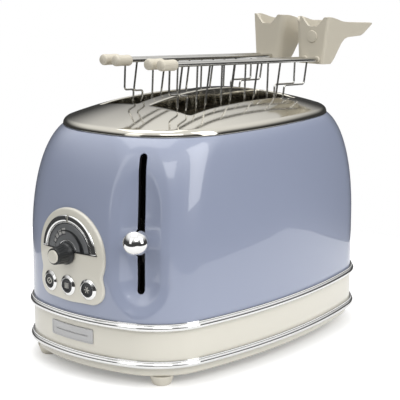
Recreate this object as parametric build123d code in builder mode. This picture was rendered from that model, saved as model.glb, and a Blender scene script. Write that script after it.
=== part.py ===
"""Two-slice toaster with a domed metal top, a browning dial and two sandwich tongs.

Millimetres. X runs along the toaster from the control end (-X) to the back end (+X),
Y runs across it, and Z points up from the worktop. The origin is on the worktop,
below the middle of the body.
"""

from build123d import *
import os
from math import atan2, cos, degrees, hypot, radians, sin, sqrt

os.makedirs("parts", exist_ok=True)

# Body outline: half length, half width, then the radii of the side, end and corner arcs
body_outline = (150.0, 97.0, 476.0, 163.0, 55.0)
rim_outline = (124.0, 85.0, 395.0, 247.0, 72.0)

# Heights above the worktop
skirt_bottom = 8.0
lower_ring_height = 19.0
upper_ring_height = 48.8
shoulder_start = 100.0
rim_height = 191.4
shoulder_overrun = 3.6
shoulder_reach = rim_height + shoulder_overrun - shoulder_start
rim_band = 5.7
crown_rise = 12.9

# Sheet and plastic thicknesses
shell_wall = 1.5
band_wall = 1.6
plate_wall = 1.0
skirt_wall = 2.2
skirt_inset = 2.9
pan_rise = 12.0
ring_radius = 3.2
join_gap = 0.05
loose_gap = 0.3

# Bread slots
slot_length = 143.4
slot_width = 42.5
slot_middle_x = 1.0
slot_middle_y = 27.95
slot_corner = 3.0
collar_wall = 1.0
collar_depth = 9.0
plate_opening = 8.0

# Lever, its recess and its slot on the near front corner
lever_angle = 24.8
lever_rest_height = 116.6
lever_down = 34.0
lever_slot_width = 6.0
lever_slot_end_margin = 5.5
lever_slot_below_rim = 10.3
lever_bar = (4.0, 8.0)
lever_slot_bottom = lever_rest_height - lever_down - lever_bar[1] / 2 - lever_slot_end_margin
lever_slot_top = rim_height - lever_slot_below_rim
lever_up = lever_slot_top - lever_slot_end_margin - lever_bar[1] / 2 - lever_rest_height
ball_radius = 10.2
ball_clearance = 1.3
recess_depth = 6.5
recess_below_slot = 11.1
recess_above_slot = 5.9
recess_scoop_radius = 62.0

# Control panel on the front end
panel_y = 7.5
panel_foot_height = 74.0
panel_lobe_radius = 36.5
panel_foot_width = 71.0
panel_foot_depth = 25.0
panel_foot_corner = 12.0
panel_thickness = 2.6
panel_neck_radius = 6.0
dial_over_panel = 1.0
dial_outer_radius = 29.0
dial_inner_radius = 22.0
dial_proud = 1.4
dial_notch = 2.6
scale_proud = 0.5
scale_marks = 7

# Browning knob
knob_radius = 11.2
knob_to_rings = 6.8
knob_tip_radius = 8.4
knob_length = 19.0
knob_shaft_radius = 3.0
knob_flutes = 12
flute_radius = 1.9
flute_bite = 0.9
knob_cap_radius = 6.6
knob_cap_thickness = 1.2
running_gap = 0.06

# Push buttons
button_spacing = 21.5
button_radius = 5.3
button_clearance = 0.35
button_proud = 0.6
button_travel = 2.5
button_length = 14.0
button_ring_radius = 8.0
button_ring_proud = 1.8
dial_height = panel_foot_height + button_ring_radius + knob_to_rings + knob_radius
panel_height = dial_height - dial_over_panel
switch_depth = 4.0
switch_side = 6.0
board_length = 59.0
board_below_buttons = 9.0
board_above_dial = 11.0
board_sheet = 1.6
control_radius = 8.0
control_depth = 8.0
bushing_radius = 4.5
bushing_length = 6.0
shaft_grip = 1.5

# Name plate, left blank
label_length = 47.0
label_height = 12.0
label_z = 35.4
label_thickness = 1.0
label_border = 1.3

# Feet, screws and the cord gland
front_foot_x = 121.0
rear_foot_x = 104.0
foot_y = 62.0
foot_top_radius = 10.0
foot_bottom_radius = 6.8
foot_rim = 1.2
boss_radius = 4.0
boss_height = 6.0
screw_radius = 1.6
screw_head_radius = 3.0
screw_head = 0.9
screw_length = 14.0
gland_radius = 5.0
gland_flange_radius = 7.2
gland_flange = 2.0
gland_length = 12.0
gland_inside = 8.0
gland_bore = 3.0
gland_z = 38.0
gland_y = -30.0

# Frames, heaters and guards inside
frame_sheet = 1.0
frame_x = 84.0
frame_half_width = 66.0
frame_bottom = 18.0
frame_leg_width = 12.0
shelf_half_width = 24.0
shelf_reach = 108.0
lower_shelf = 28.0
shelf_below_rim = 7.4
upper_shelf = rim_height - shelf_below_rim
shelf_sheet = 2.0
frame_over_shelf = 1.0
frame_top = upper_shelf + shelf_sheet + frame_over_shelf
heater_sheet = 1.0
heater_y = 58.0
heater_bottom = 42.0
heater_below_frame = 5.0
heater_top = frame_top - heater_below_frame
heater_end = 10.0
heater_edge = 8.0
heater_ribbon = (0.4, 2.6)
heater_turns = 9
guard_wire = 0.8
guard_rail = 1.0
outer_guard_y = 54.0
inner_guard_y = 5.2
guard_wires = 9
guard_bottom = 36.0
guard_end = 6.0
guard_top = frame_top - guard_rail

# Carriage, guide rods and bread racks
rod_x = 101.0
rod_y = 14.0
rod_radius = 3.0
rod_overrun = 1.0
carriage_thickness = 12.0
carriage_half_width = 20.0
carriage_bottom = 84.0
carriage_top = 122.0
cross_sheet = 2.0
cross_half_width = 32.0
cross_bottom = 80.0
cross_top = 94.0
lever_link = 6.0
lever_link_y = 38.0
rack_height = 86.0
rack_half_width = 11.0
rack_bar = (2.0, 9.0)
rack_fingers = 7
rack_rear = 74.0
finger_sheet = 1.6
finger_height = 3.0
frame_slot_side = 1.0
frame_slot_end = 1.5
spring_inner_radius = 3.4
spring_outer_radius = 4.8
magnet_length = 11.0
magnet_half_width = 8.0

# Crumb tray
tray_half_width = 34.0
tray_front_x = -74.0
tray_sheet = 0.8
tray_bottom = 11.2
tray_height = 4.2
tray_lip = 3.0

# Sandwich tongs
tong_tilt = 3.1
tong_over_rim = 48.9
tong_height = rim_height + tong_over_rim
tong_opening = 8.0
near_tong_y = -37.5
far_tong_y = 15.0
far_tong_shift = 5.5
jaw_half_gap = 6.5
rail_radius = 1.8
rail_front = -92.0
rail_rear = 113.5
tip_middle = -91.5
tip_length = 19.0
tip_end = 1.4
tip_radius = 4.8
tip_waist = 4.3
cage_wire = 0.8
cage_front = -65.5
cage_rear = 67.5
cage_depth = 88.0
cage_lean = 6.5
front_jog = 15.0
rear_jog = 29.0
front_jog_drop = 27.0
rear_jog_drop = 21.5
jog_bend = 2.5
inner_wires = 4
first_wire = -39.0
wire_spacing = 32.0
handle_front = 112.0
handle_wall = 3.0
handle_bottom = -4.0
handle_top = 38.0
handle_scoop = 29.0
handle_half_top = 17.0
handle_half_bottom = 12.5
handle_side = 3.4
pivot_height = 20.0
pin_radius = 2.0
pin_head_radius = 5.2
pin_head = 0.9
handle_gap = 0.4
back_wall_top = 27.0
back_wall_side = 7.5
scoop_half_width = 10.0
scoop_corner = 9.0
window_gap = 0.6
window_corner = 1.0
spring_length = 4.6
wing_profile = ((0, -4), (13, -4), (26, 15.6), (35, 20), (56, 21), (72.5, 32.7), (27, 33.2), (0, 38))

# Where the corner circles of the body sit, for the lever on one of them
lever_out = Vector(-cos(radians(lever_angle)), -sin(radians(lever_angle)), 0)


def corner_centre(shape):
    """Centre of the corner circle that touches the side and end arcs from inside."""
    half_length, half_width, side_radius, end_radius, corner_radius = shape
    side_y = half_width - side_radius
    end_x = half_length - end_radius
    span = hypot(end_x, side_y)
    to_side = side_radius - corner_radius
    to_end = end_radius - corner_radius
    along = (to_side**2 - to_end**2 + span**2) / (2 * span)
    across = sqrt(to_side**2 - along**2)
    ux, uy = end_x / span, -side_y / span
    return along * ux + across * uy, side_y + along * uy - across * ux


def oval(shape, z, inset=0.0, share=1.0):
    """Flat outline of eight tangent arcs at height z, moved in by inset or scaled by share."""
    half_length, half_width, side_radius, end_radius, corner_radius = (
        (size - inset) * share for size in shape
    )
    side_y = half_width - side_radius
    end_x = half_length - end_radius
    cx, cy = corner_centre((half_length, half_width, side_radius, end_radius, corner_radius))
    side_turn = degrees(atan2(cy - side_y, cx))
    end_turn = degrees(atan2(cy, cx - end_x))
    corner_turn = side_turn - end_turn
    with BuildSketch(Plane.XY.offset(z)) as outline:
        with BuildLine():
            CenterArc((0, side_y), side_radius, side_turn, 180 - 2 * side_turn)
            CenterArc((-cx, cy), corner_radius, 180 - side_turn, corner_turn)
            CenterArc((-end_x, 0), end_radius, 180 - end_turn, 2 * end_turn)
            CenterArc((-cx, -cy), corner_radius, 180 + end_turn, corner_turn)
            CenterArc((0, -side_y), side_radius, 180 + side_turn, 180 - 2 * side_turn)
            CenterArc((cx, -cy), corner_radius, -side_turn, corner_turn)
            CenterArc((end_x, 0), end_radius, -end_turn, 2 * end_turn)
            CenterArc((cx, cy), corner_radius, end_turn, corner_turn)
        make_face()
    return outline.sketch


def shoulder_share(z):
    """How far the outline has moved from the body's to the rim's: 0 below, 1 at the rim."""
    if z <= shoulder_start:
        return 0.0
    full = 1 - sqrt(1 - ((rim_height - shoulder_start) / shoulder_reach) ** 2)
    return (1 - sqrt(1 - ((z - shoulder_start) / shoulder_reach) ** 2)) / full


def body_shape(z):
    """Outline of the body at height z."""
    share = shoulder_share(z)
    return tuple(low + (high - low) * share for low, high in zip(body_outline, rim_outline))


def hull(inset, bottom, top):
    """Closed solid inside the body's surface, moved in by inset."""
    steps = 8
    curve = [shoulder_start + (rim_height - shoulder_start) * sin(radians(90 * i / steps))
             for i in range(steps)]
    with BuildPart() as solid:
        add(oval(body_outline, bottom, inset))
        extrude(amount=min(top, shoulder_start) - bottom)
        if top > shoulder_start:
            for z in [z for z in curve if z < top - 2] + [top]:
                add(oval(body_shape(z), z, inset))
            loft()
    return solid.part


def prism(inset, bottom, top, shape=body_outline):
    """Straight solid with the body's outline, moved in by inset."""
    with BuildPart() as solid:
        add(oval(shape, bottom, inset))
        extrude(amount=top - bottom)
    return solid.part


def end_x(y, proud=0.0):
    """X of the front end's surface at y, raised by proud."""
    radius = body_outline[3] + proud
    centre = body_outline[3] - body_outline[0]
    return centre - sqrt(radius**2 - y**2)


def save(piece, name):
    """Names a finished piece and writes its file."""
    piece.label = name
    export_step(piece, f"parts/{name}.step")


# Body shell: a deep-drawn cover with the lever recess pressed into its near front corner
lever_axis = Vector(*(-c for c in corner_centre(body_outline)), 0)
recess_bottom = lever_slot_bottom - recess_below_slot
recess_top = lever_slot_top + recess_above_slot


def corner_reach(z):
    """Distance from the lever's axis to the corner's surface at height z."""
    cx, cy = corner_centre(body_shape(z))
    out = Vector(-cx, -cy, 0) - lever_axis
    return out.dot(lever_out) + body_shape(z)[4]


def recess(wall):
    """The scoop behind the lever, grown by wall."""
    steps = 8
    with BuildPart() as scoop:
        for i in range(steps + 1):
            share = i / steps
            z = recess_bottom - wall + (recess_top - recess_bottom + 2 * wall) * share
            fullness = (1 - abs(2 * share - 1) ** 6) if i not in (0, steps) else 0.0
            depth = recess_depth * fullness
            middle = lever_axis + lever_out * (
                corner_reach(z) - depth + recess_scoop_radius
            )
            with BuildSketch(Plane(origin=(middle.X, middle.Y, z))):
                Circle(recess_scoop_radius + wall)
        loft()
    return scoop.part


front_plane = Plane(origin=(-body_outline[0] - 10, panel_y, 0), x_dir=(0, 1, 0), z_dir=(1, 0, 0))
button_places = [(i * button_spacing, panel_foot_height) for i in (-1, 0, 1)]
outer_hull = hull(0, upper_ring_height, rim_height)

with BuildPart() as recess_lining:
    add(outer_hull)
    add(recess(shell_wall), mode=Mode.INTERSECT)

with BuildPart() as body_shell:
    add(outer_hull)
    add(hull(shell_wall, upper_ring_height - 1, rim_height - shell_wall), mode=Mode.SUBTRACT)
    add(prism(plate_opening, rim_height - 5, rim_height + 5, rim_outline), mode=Mode.SUBTRACT)
    add(recess_lining.part)
    add(recess(0), mode=Mode.SUBTRACT)
    # Lever slot with round ends, cut along the lever's direction
    with BuildSketch(Plane(origin=lever_axis, x_dir=(0, 0, 1), z_dir=lever_out)):
        with Locations(((lever_slot_bottom + lever_slot_top) / 2, 0)):
            SlotOverall(lever_slot_top - lever_slot_bottom, lever_slot_width)
    extrude(amount=body_outline[4] + 10, mode=Mode.SUBTRACT)
    # Holes for the browning control's shaft and the three buttons
    with BuildSketch(front_plane):
        with Locations((0, dial_height)):
            Circle(knob_shaft_radius + loose_gap)
        with Locations(*button_places):
            Circle(button_radius + button_clearance)
    extrude(amount=30, mode=Mode.SUBTRACT)
save(body_shell.part, "body_shell")

# Top plate: a domed sheet with a straight rim and a collar pressed down round each slot
def dome(inset, drop):
    """Closed solid under the plate's surface, moved in by inset and lowered by drop."""
    edge = rim_height + rim_band * 0.8 - drop
    with BuildPart() as solid:
        add(oval(rim_outline, rim_height - drop, inset))
        extrude(amount=rim_band * 0.8)
        for share in (1.0, 0.97, 0.9, 0.78, 0.62, 0.45, 0.3, 0.15):
            z = edge + (rim_band * 0.2 + crown_rise) * (1 - share**2)
            add(oval(rim_outline, z, inset, share))
        loft()
    return solid.part


slot_places = ((slot_middle_x, -slot_middle_y), (slot_middle_x, slot_middle_y))
dome_solid = dome(0, 0)

with BuildPart() as slot_collars:
    with BuildSketch(Plane.XY.offset(rim_height + rim_band + crown_rise)):
        with Locations(*slot_places):
            RectangleRounded(slot_length + 2 * collar_wall, slot_width + 2 * collar_wall,
                             slot_corner + collar_wall)
    extrude(amount=-(crown_rise + collar_depth))
    add(dome_solid, mode=Mode.INTERSECT)

with BuildPart() as top_plate:
    add(dome_solid)
    add(dome(plate_wall, plate_wall), mode=Mode.SUBTRACT)
    add(slot_collars.part)
    with BuildSketch(Plane.XY.offset(rim_height - 10)):
        with Locations(*slot_places):
            RectangleRounded(slot_length, slot_width, slot_corner)
    extrude(amount=50, mode=Mode.SUBTRACT)
save(top_plate.part, "top_plate")

# Base band between the two trim rings, with a hole for the cord gland at the back
gland_plane = Plane(origin=(-end_x(gland_y + gland_flange_radius) + join_gap, gland_y, gland_z),
                    x_dir=(0, 1, 0), z_dir=(1, 0, 0))
with BuildPart() as base_band:
    add(prism(0, lower_ring_height, upper_ring_height - join_gap))
    add(prism(band_wall, lower_ring_height - 1, upper_ring_height + 1), mode=Mode.SUBTRACT)
    with BuildSketch(gland_plane):
        Circle(gland_radius + join_gap)
    extrude(amount=20, both=True, mode=Mode.SUBTRACT)
save(base_band.part, "base_band")


def trim_ring(z):
    """Half-round bead that follows the body's outline at height z."""
    reach = body_outline[0] + join_gap
    with BuildPart() as ring:
        with BuildLine():
            path = add(oval(body_outline, z, -join_gap).wire())
        with BuildSketch(Plane(origin=(reach, 0, z), x_dir=(1, 0, 0), z_dir=(0, 1, 0))):
            Circle(ring_radius)
            with Locations((-ring_radius, 0)):
                Rectangle(2 * ring_radius, 2 * ring_radius, mode=Mode.SUBTRACT)
        sweep(path=path)
    return ring.part


upper_trim_ring = trim_ring(upper_ring_height)
lower_trim_ring = trim_ring(lower_ring_height)
save(upper_trim_ring, "upper_trim_ring")
save(lower_trim_ring, "lower_trim_ring")


# Base pan: skirt, floor and screw bosses, with a window for the crumb tray at the back
pan_top = lower_ring_height + pan_rise
pan_floor = skirt_bottom + skirt_wall
foot_places = [(x, y) for x in (-front_foot_x, rear_foot_x) for y in (-foot_y, foot_y)]

with BuildPart() as base_pan:
    add(prism(skirt_inset, skirt_bottom, pan_top))
    add(prism(skirt_inset + skirt_wall, pan_floor, pan_top + 1), mode=Mode.SUBTRACT)
    with BuildSketch(Plane.YZ.offset(tray_front_x)):
        with Locations((0, tray_bottom + tray_height / 2)):
            Rectangle(2 * (tray_half_width + 2 * loose_gap), tray_height + 2 * loose_gap)
    extrude(amount=body_outline[0] - tray_front_x, mode=Mode.SUBTRACT)
    with BuildSketch(Plane.XY.offset(pan_floor - 1)):
        with Locations(*foot_places):
            Circle(boss_radius)
    extrude(amount=1 + boss_height)
    with BuildSketch(Plane.XY.offset(skirt_bottom)):
        with Locations(*foot_places):
            Circle(screw_radius + join_gap)
    extrude(amount=skirt_wall + boss_height, mode=Mode.SUBTRACT)
save(base_pan.part, "base_pan")

# Feet: four turned feet, each flat below, and the screws that hold them
foot_names = ("front_near_foot", "front_far_foot", "rear_near_foot", "rear_far_foot")
for (x, y), name in zip(foot_places, foot_names):
    with BuildPart() as foot:
        with BuildSketch(Plane(origin=(x, y, 0), x_dir=(1, 0, 0), z_dir=(0, -1, 0))):
            with BuildLine():
                Polyline((screw_radius + loose_gap, foot_rim),
                         (screw_radius + loose_gap, skirt_bottom - join_gap),
                         (foot_top_radius, skirt_bottom - join_gap),
                         (foot_top_radius, skirt_bottom - foot_rim),
                         (foot_bottom_radius + foot_rim / 2, foot_rim / 2),
                         (foot_bottom_radius, 0),
                         (screw_head_radius + loose_gap, 0),
                         (screw_head_radius + loose_gap, foot_rim), close=True)
            make_face()
        revolve(axis=Axis((x, y, 0), (0, 0, 1)))
    save(foot.part, name)

with BuildPart() as base_screws:
    with BuildSketch(Plane.XY.offset(foot_rim - join_gap)):
        with Locations(*foot_places):
            Circle(screw_radius)
    extrude(amount=screw_length)
    with BuildSketch(Plane.XY.offset(foot_rim - join_gap)):
        with Locations(*foot_places):
            Circle(screw_head_radius)
    extrude(amount=-screw_head)
save(base_screws.part, "base_screws")


# Pieces that lie on the front end follow its curve between two offsets
def front_skin(under, over, bottom, top):
    """Layer on the body's surface from under to over, measured outwards, on the front end."""
    with BuildPart() as layer:
        add(hull(-over, bottom, rim_height))
        add(hull(-under, bottom - 1, rim_height), mode=Mode.SUBTRACT)
        with BuildSketch(front_plane):
            with Locations((0, (bottom + top) / 2)):
                Rectangle(panel_foot_width + 20, top - bottom)
        extrude(amount=60, mode=Mode.INTERSECT)
    return layer.part


panel_low = panel_foot_height - panel_foot_depth / 2
panel_high = panel_height + panel_lobe_radius

with BuildPart() as control_bezel:
    add(front_skin(join_gap, panel_thickness, panel_low - 3, panel_high + 3))
    with BuildSketch(front_plane) as bezel_outline:
        with Locations((0, panel_height)):
            Circle(panel_lobe_radius)
        with Locations((0, panel_foot_height)):
            RectangleRounded(panel_foot_width, panel_foot_depth, panel_foot_corner)
        necks = [v for v in bezel_outline.vertices()
                 if panel_foot_height + 4 < v.Y < panel_height and abs(v.X) > panel_lobe_radius * 0.7]
        fillet(necks, radius=panel_neck_radius)
    extrude(amount=60, mode=Mode.INTERSECT)
    with BuildSketch(front_plane):
        with Locations((0, dial_height)):
            Circle(knob_shaft_radius + loose_gap)
        with Locations(*button_places):
            Circle(button_radius + button_clearance)
    extrude(amount=60, mode=Mode.SUBTRACT)
save(control_bezel.part, "control_bezel")

with BuildPart() as dial_arc:
    add(front_skin(panel_thickness + join_gap, panel_thickness + dial_proud,
                   dial_height - 3, dial_height + dial_outer_radius + 3))
    with BuildSketch(front_plane):
        with Locations((0, dial_height)):
            Circle(dial_outer_radius)
            Circle(dial_inner_radius, mode=Mode.SUBTRACT)
        with Locations((0, dial_height - dial_outer_radius)):
            Rectangle(3 * dial_outer_radius, 2 * dial_outer_radius, mode=Mode.SUBTRACT)
        with Locations((0, dial_height + dial_outer_radius)):
            Rectangle(dial_notch, dial_outer_radius, mode=Mode.SUBTRACT)
    extrude(amount=60, mode=Mode.INTERSECT)
save(dial_arc.part, "dial_arc")

with BuildPart() as dial_scale:
    add(front_skin(panel_thickness + join_gap, panel_thickness + scale_proud,
                   dial_height - 3, dial_height + dial_outer_radius + 3))
    with BuildSketch(front_plane):
        with Locations((0, dial_height)):
            Circle(dial_inner_radius - join_gap)
            Circle(knob_radius / 2, mode=Mode.SUBTRACT)
        with Locations((0, dial_height - dial_outer_radius)):
            Rectangle(3 * dial_outer_radius, 2 * dial_outer_radius, mode=Mode.SUBTRACT)
        with Locations((0, dial_height)):
            with PolarLocations((dial_inner_radius + knob_radius) / 2, scale_marks,
                                start_angle=15, angular_range=150):
                Rectangle((dial_inner_radius - knob_radius) / 2, 0.8, mode=Mode.SUBTRACT)
    extrude(amount=60, mode=Mode.INTERSECT)
save(dial_scale.part, "dial_scale")

with BuildPart() as button_rings:
    add(front_skin(panel_thickness + join_gap, panel_thickness + button_ring_proud,
                   panel_low - 3, panel_high))
    with BuildSketch(front_plane):
        with Locations(*button_places):
            Circle(button_ring_radius)
            Circle(button_radius + button_clearance, mode=Mode.SUBTRACT)
    extrude(amount=60, mode=Mode.INTERSECT)
save(button_rings.part, "button_rings")

# Buttons: round caps with a stem that runs in to its switch
button_names = ("defrost_button", "reheat_button", "cancel_button")
button_faces = [end_x(panel_y + y, panel_thickness + button_proud) for y, z in button_places]
for (y, z), face_x, name in zip(button_places, button_faces, button_names):
    with BuildPart() as button:
        with BuildSketch(Plane(origin=(face_x, panel_y + y, z), x_dir=(0, 1, 0), z_dir=(1, 0, 0))):
            Circle(button_radius)
        extrude(amount=button_length)
        fillet(button.edges().sort_by(Axis.X)[0], radius=0.8)
    save(button.part, name)

# Control board with the browning control and the three switches
board_x = max(button_faces) + button_length + button_travel + loose_gap + switch_depth
control_x = board_x - join_gap - control_depth
board_low = panel_foot_height - board_below_buttons
board_high = dial_height + board_above_dial

with BuildPart() as control_board:
    with BuildSketch(Plane.YZ.offset(board_x)):
        with Locations((panel_y, (board_low + board_high) / 2)):
            Rectangle(board_length, board_high - board_low)
    extrude(amount=board_sheet)
save(control_board.part, "control_board")

with BuildPart() as button_switches:
    for (y, z), face_x in zip(button_places, button_faces):
        with BuildSketch(Plane.YZ.offset(board_x - join_gap)):
            with Locations((panel_y + y, z)):
                Rectangle(switch_side, switch_side)
        extrude(amount=face_x + button_length + button_travel + loose_gap - board_x + join_gap)
save(button_switches.part, "button_switches")

with BuildPart() as browning_control:
    with BuildSketch(Plane.YZ.offset(control_x)):
        with Locations((panel_y, dial_height)):
            Circle(control_radius)
    extrude(amount=control_depth)
    with BuildSketch(Plane.YZ.offset(control_x)):
        with Locations((panel_y, dial_height)):
            Circle(bushing_radius)
    extrude(amount=-bushing_length)
    with BuildSketch(Plane.YZ.offset(control_x - bushing_length)):
        with Locations((panel_y, dial_height)):
            Circle(knob_shaft_radius + running_gap)
    extrude(amount=bushing_length + shaft_grip + loose_gap, mode=Mode.SUBTRACT)
save(browning_control.part, "browning_control")

# Browning knob: fluted grip on a shaft, and the pale cap on its nose
knob_back = end_x(0, panel_thickness + scale_proud) - loose_gap
knob_plane = Plane(origin=(knob_back, panel_y, dial_height), x_dir=(0, -1, 0), z_dir=(-1, 0, 0))

with BuildPart() as browning_knob:
    with BuildSketch(knob_plane):
        Circle(knob_radius)
    extrude(amount=knob_length * 0.3)
    with BuildSketch(knob_plane.offset(knob_length * 0.3)):
        Circle(knob_radius)
    with BuildSketch(knob_plane.offset(knob_length)):
        Circle(knob_tip_radius)
    loft()
    fillet(browning_knob.edges().sort_by(Axis.X)[0], radius=0.8)
    with BuildSketch(knob_plane.offset(knob_length * 0.2)):
        with PolarLocations(knob_radius + flute_radius - flute_bite, knob_flutes):
            Circle(flute_radius)
    extrude(amount=knob_length, mode=Mode.SUBTRACT)
    with BuildSketch(knob_plane):
        Circle(knob_shaft_radius)
    extrude(amount=knob_back - control_x - shaft_grip)
save(browning_knob.part, "browning_knob")

with BuildPart() as knob_cap:
    with BuildSketch(knob_plane.offset(knob_length + join_gap)):
        Circle(knob_cap_radius)
    extrude(amount=knob_cap_thickness)
    fillet(knob_cap.edges().sort_by(Axis.X)[0], radius=0.6)
save(knob_cap.part, "knob_cap")

# Blank name plate with a raised border, bent round the band
with BuildPart() as label_face:
    add(prism(-2 * label_thickness, label_z - label_height, label_z + label_height))
    add(prism(-label_thickness / 2, label_z - 2 * label_height, label_z + 2 * label_height),
        mode=Mode.SUBTRACT)
    with BuildSketch(front_plane):
        with Locations((0, label_z)):
            RectangleRounded(label_length - 2 * label_border, label_height - 2 * label_border, 0.6)
    extrude(amount=40, mode=Mode.INTERSECT)

with BuildPart() as name_plate:
    add(prism(-label_thickness, label_z - label_height, label_z + label_height))
    add(prism(-join_gap, label_z - 2 * label_height, label_z + 2 * label_height),
        mode=Mode.SUBTRACT)
    with BuildSketch(front_plane):
        with Locations((0, label_z)):
            RectangleRounded(label_length, label_height, 1.0)
    extrude(amount=40, mode=Mode.INTERSECT)
    add(label_face.part, mode=Mode.SUBTRACT)
save(name_plate.part, "name_plate")

# Cord gland through the band at the back
with BuildPart() as cord_gland:
    with BuildSketch(gland_plane):
        Circle(gland_flange_radius)
    extrude(amount=gland_flange)
    with BuildSketch(gland_plane):
        Circle(gland_radius)
    extrude(amount=-gland_inside)
    with BuildSketch(gland_plane.offset(gland_flange)):
        Circle(gland_radius)
    extrude(amount=gland_length, taper=6)
    with BuildSketch(gland_plane.offset(-gland_inside)):
        Circle(gland_bore)
    extrude(amount=gland_inside + gland_flange + gland_length, mode=Mode.SUBTRACT)
save(cord_gland.part, "cord_gland")

# Sheet frames: two upright end sheets that carry the heaters and guards
rack_low = rack_height - rack_bar[1] / 2
rack_high = rack_height + rack_bar[1] / 2


def frame_plate(x):
    """One upright sheet from x outwards, on two legs that stand on the pan's floor."""
    side = 1 if x > 0 else -1
    with BuildPart() as sheet:
        with BuildSketch(Plane.YZ.offset(x)):
            with Locations((0, (frame_bottom + frame_top) / 2)):
                Rectangle(2 * frame_half_width, frame_top - frame_bottom)
            leg_y = frame_half_width - frame_leg_width / 2
            with Locations(*((y, (pan_floor + join_gap + frame_bottom + 1) / 2) for y in (-leg_y, leg_y))):
                Rectangle(frame_leg_width, frame_bottom + 1 - pan_floor - join_gap)
        extrude(amount=side * frame_sheet)
    return sheet.part


with BuildPart() as front_frame:
    add(frame_plate(-frame_x))
    # Two shelves for the guide rods
    with BuildSketch(Plane.XY.offset(lower_shelf)) as shelf:
        with Locations((-(frame_x + shelf_reach) / 2, 0)):
            Rectangle(shelf_reach - frame_x, 2 * shelf_half_width)
        with Locations((-rod_x, -rod_y), (-rod_x, rod_y)):
            Circle(rod_radius + join_gap, mode=Mode.SUBTRACT)
    extrude(amount=shelf_sheet)
    add(shelf.sketch.moved(Location((0, 0, upper_shelf - lower_shelf))))
    extrude(amount=shelf_sheet)
    # Slots for the rack arms over the whole travel
    with BuildSketch(Plane.YZ.offset(-frame_x)):
        low = rack_low - lever_down - frame_slot_end
        high = rack_high + lever_up + frame_slot_end
        with Locations(*((y, (low + high) / 2) for y in (-slot_middle_y, slot_middle_y))):
            Rectangle(rack_bar[0] + 2 * frame_slot_side, high - low)
    extrude(amount=-frame_sheet, mode=Mode.SUBTRACT)
save(front_frame.part, "front_frame")
save(frame_plate(frame_x), "rear_frame")

# Heaters: three boards with a ribbon on each face that looks at bread
board_half = frame_x - join_gap
for y, name in zip((-heater_y, 0, heater_y), ("near", "centre", "far")):
    with BuildPart() as heater_board:
        with BuildSketch(Plane.XZ.offset(-y - heater_sheet / 2)):
            with Locations((0, (heater_bottom + heater_top) / 2)):
                Rectangle(2 * board_half, heater_top - heater_bottom)
        extrude(amount=heater_sheet)
    save(heater_board.part, f"{name}_heater_board")
    with BuildPart() as heater_winding:
        faces = {"near": (1,), "centre": (-1, 1), "far": (-1,)}[name]
        for face in faces:
            surface = y + face * (heater_sheet / 2 + join_gap)
            pitch = 2 * (board_half - heater_end) / (heater_turns - 1)
            low, high = heater_bottom + heater_edge, heater_top - heater_edge
            with BuildSketch(Plane.XZ.offset(-surface)):
                for turn in range(heater_turns):
                    x = -(board_half - heater_end) + turn * pitch
                    with Locations((x, (low + high) / 2)):
                        Rectangle(heater_ribbon[1], high - low)
                    if turn < heater_turns - 1:
                        with Locations((x + pitch / 2, high if turn % 2 else low)):
                            Rectangle(pitch + heater_ribbon[1], heater_ribbon[1])
            extrude(amount=-face * heater_ribbon[0])
    save(heater_winding.part, f"{name}_heater_winding")

# Bread guards: a wire frame on each side of each slot
for side, name in ((-1, "near_bread_guard"), (1, "far_bread_guard")):
    with BuildPart() as bread_guard:
        for y in (side * outer_guard_y, side * inner_guard_y):
            with BuildSketch(Plane.YZ.offset(-board_half)):
                with Locations((y, guard_bottom), (y, guard_top)):
                    Circle(guard_rail)
            extrude(amount=2 * board_half)
            with BuildSketch(Plane.XY.offset(guard_bottom)):
                with GridLocations(2 * (board_half - guard_end) / (guard_wires - 1), 1, guard_wires, 1):
                    with Locations((0, y)):
                        Circle(guard_wire)
            extrude(amount=guard_top - guard_bottom)
    save(bread_guard.part, name)

# Carriage on its two rods, with the cross plate for the racks and the lever's arm
rod_places = [(-rod_x, -rod_y), (-rod_x, rod_y)]
block_rear = -rod_x + carriage_thickness / 2
ball_reach = body_outline[4] - recess_depth + ball_clearance + ball_radius
arm_start = (lever_link_y - lever_bar[0] - abs(lever_axis.Y)) / abs(lever_out.Y)
arm_end = ball_reach - ball_radius / 4

with BuildPart() as carriage:
    with BuildSketch(Plane.XY.offset(carriage_bottom)):
        with Locations((-rod_x, 0)):
            Rectangle(carriage_thickness, 2 * carriage_half_width)
    extrude(amount=carriage_top - carriage_bottom)
    with BuildSketch(Plane.XY.offset(cross_bottom)):
        with Locations((block_rear + cross_sheet / 2, 0)):
            Rectangle(cross_sheet, 2 * cross_half_width)
    extrude(amount=cross_top - cross_bottom)
    with BuildSketch(Plane.XY.offset(lever_rest_height - lever_bar[1] / 2)):
        with Locations((-rod_x, -(lever_link_y + carriage_half_width - 1) / 2)):
            Rectangle(lever_link, lever_link_y - carriage_half_width + 1)
        middle = lever_axis + lever_out * ((arm_start + arm_end) / 2)
        with Locations(Location((middle.X, middle.Y, 0), (0, 0, lever_angle))):
            Rectangle(arm_end - arm_start, lever_bar[0])
    extrude(amount=lever_bar[1])
    with BuildSketch(Plane.XY.offset(carriage_bottom)):
        with Locations(*rod_places):
            Circle(rod_radius + running_gap)
    extrude(amount=carriage_top - carriage_bottom, mode=Mode.SUBTRACT)
save(carriage.part, "carriage")

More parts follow.
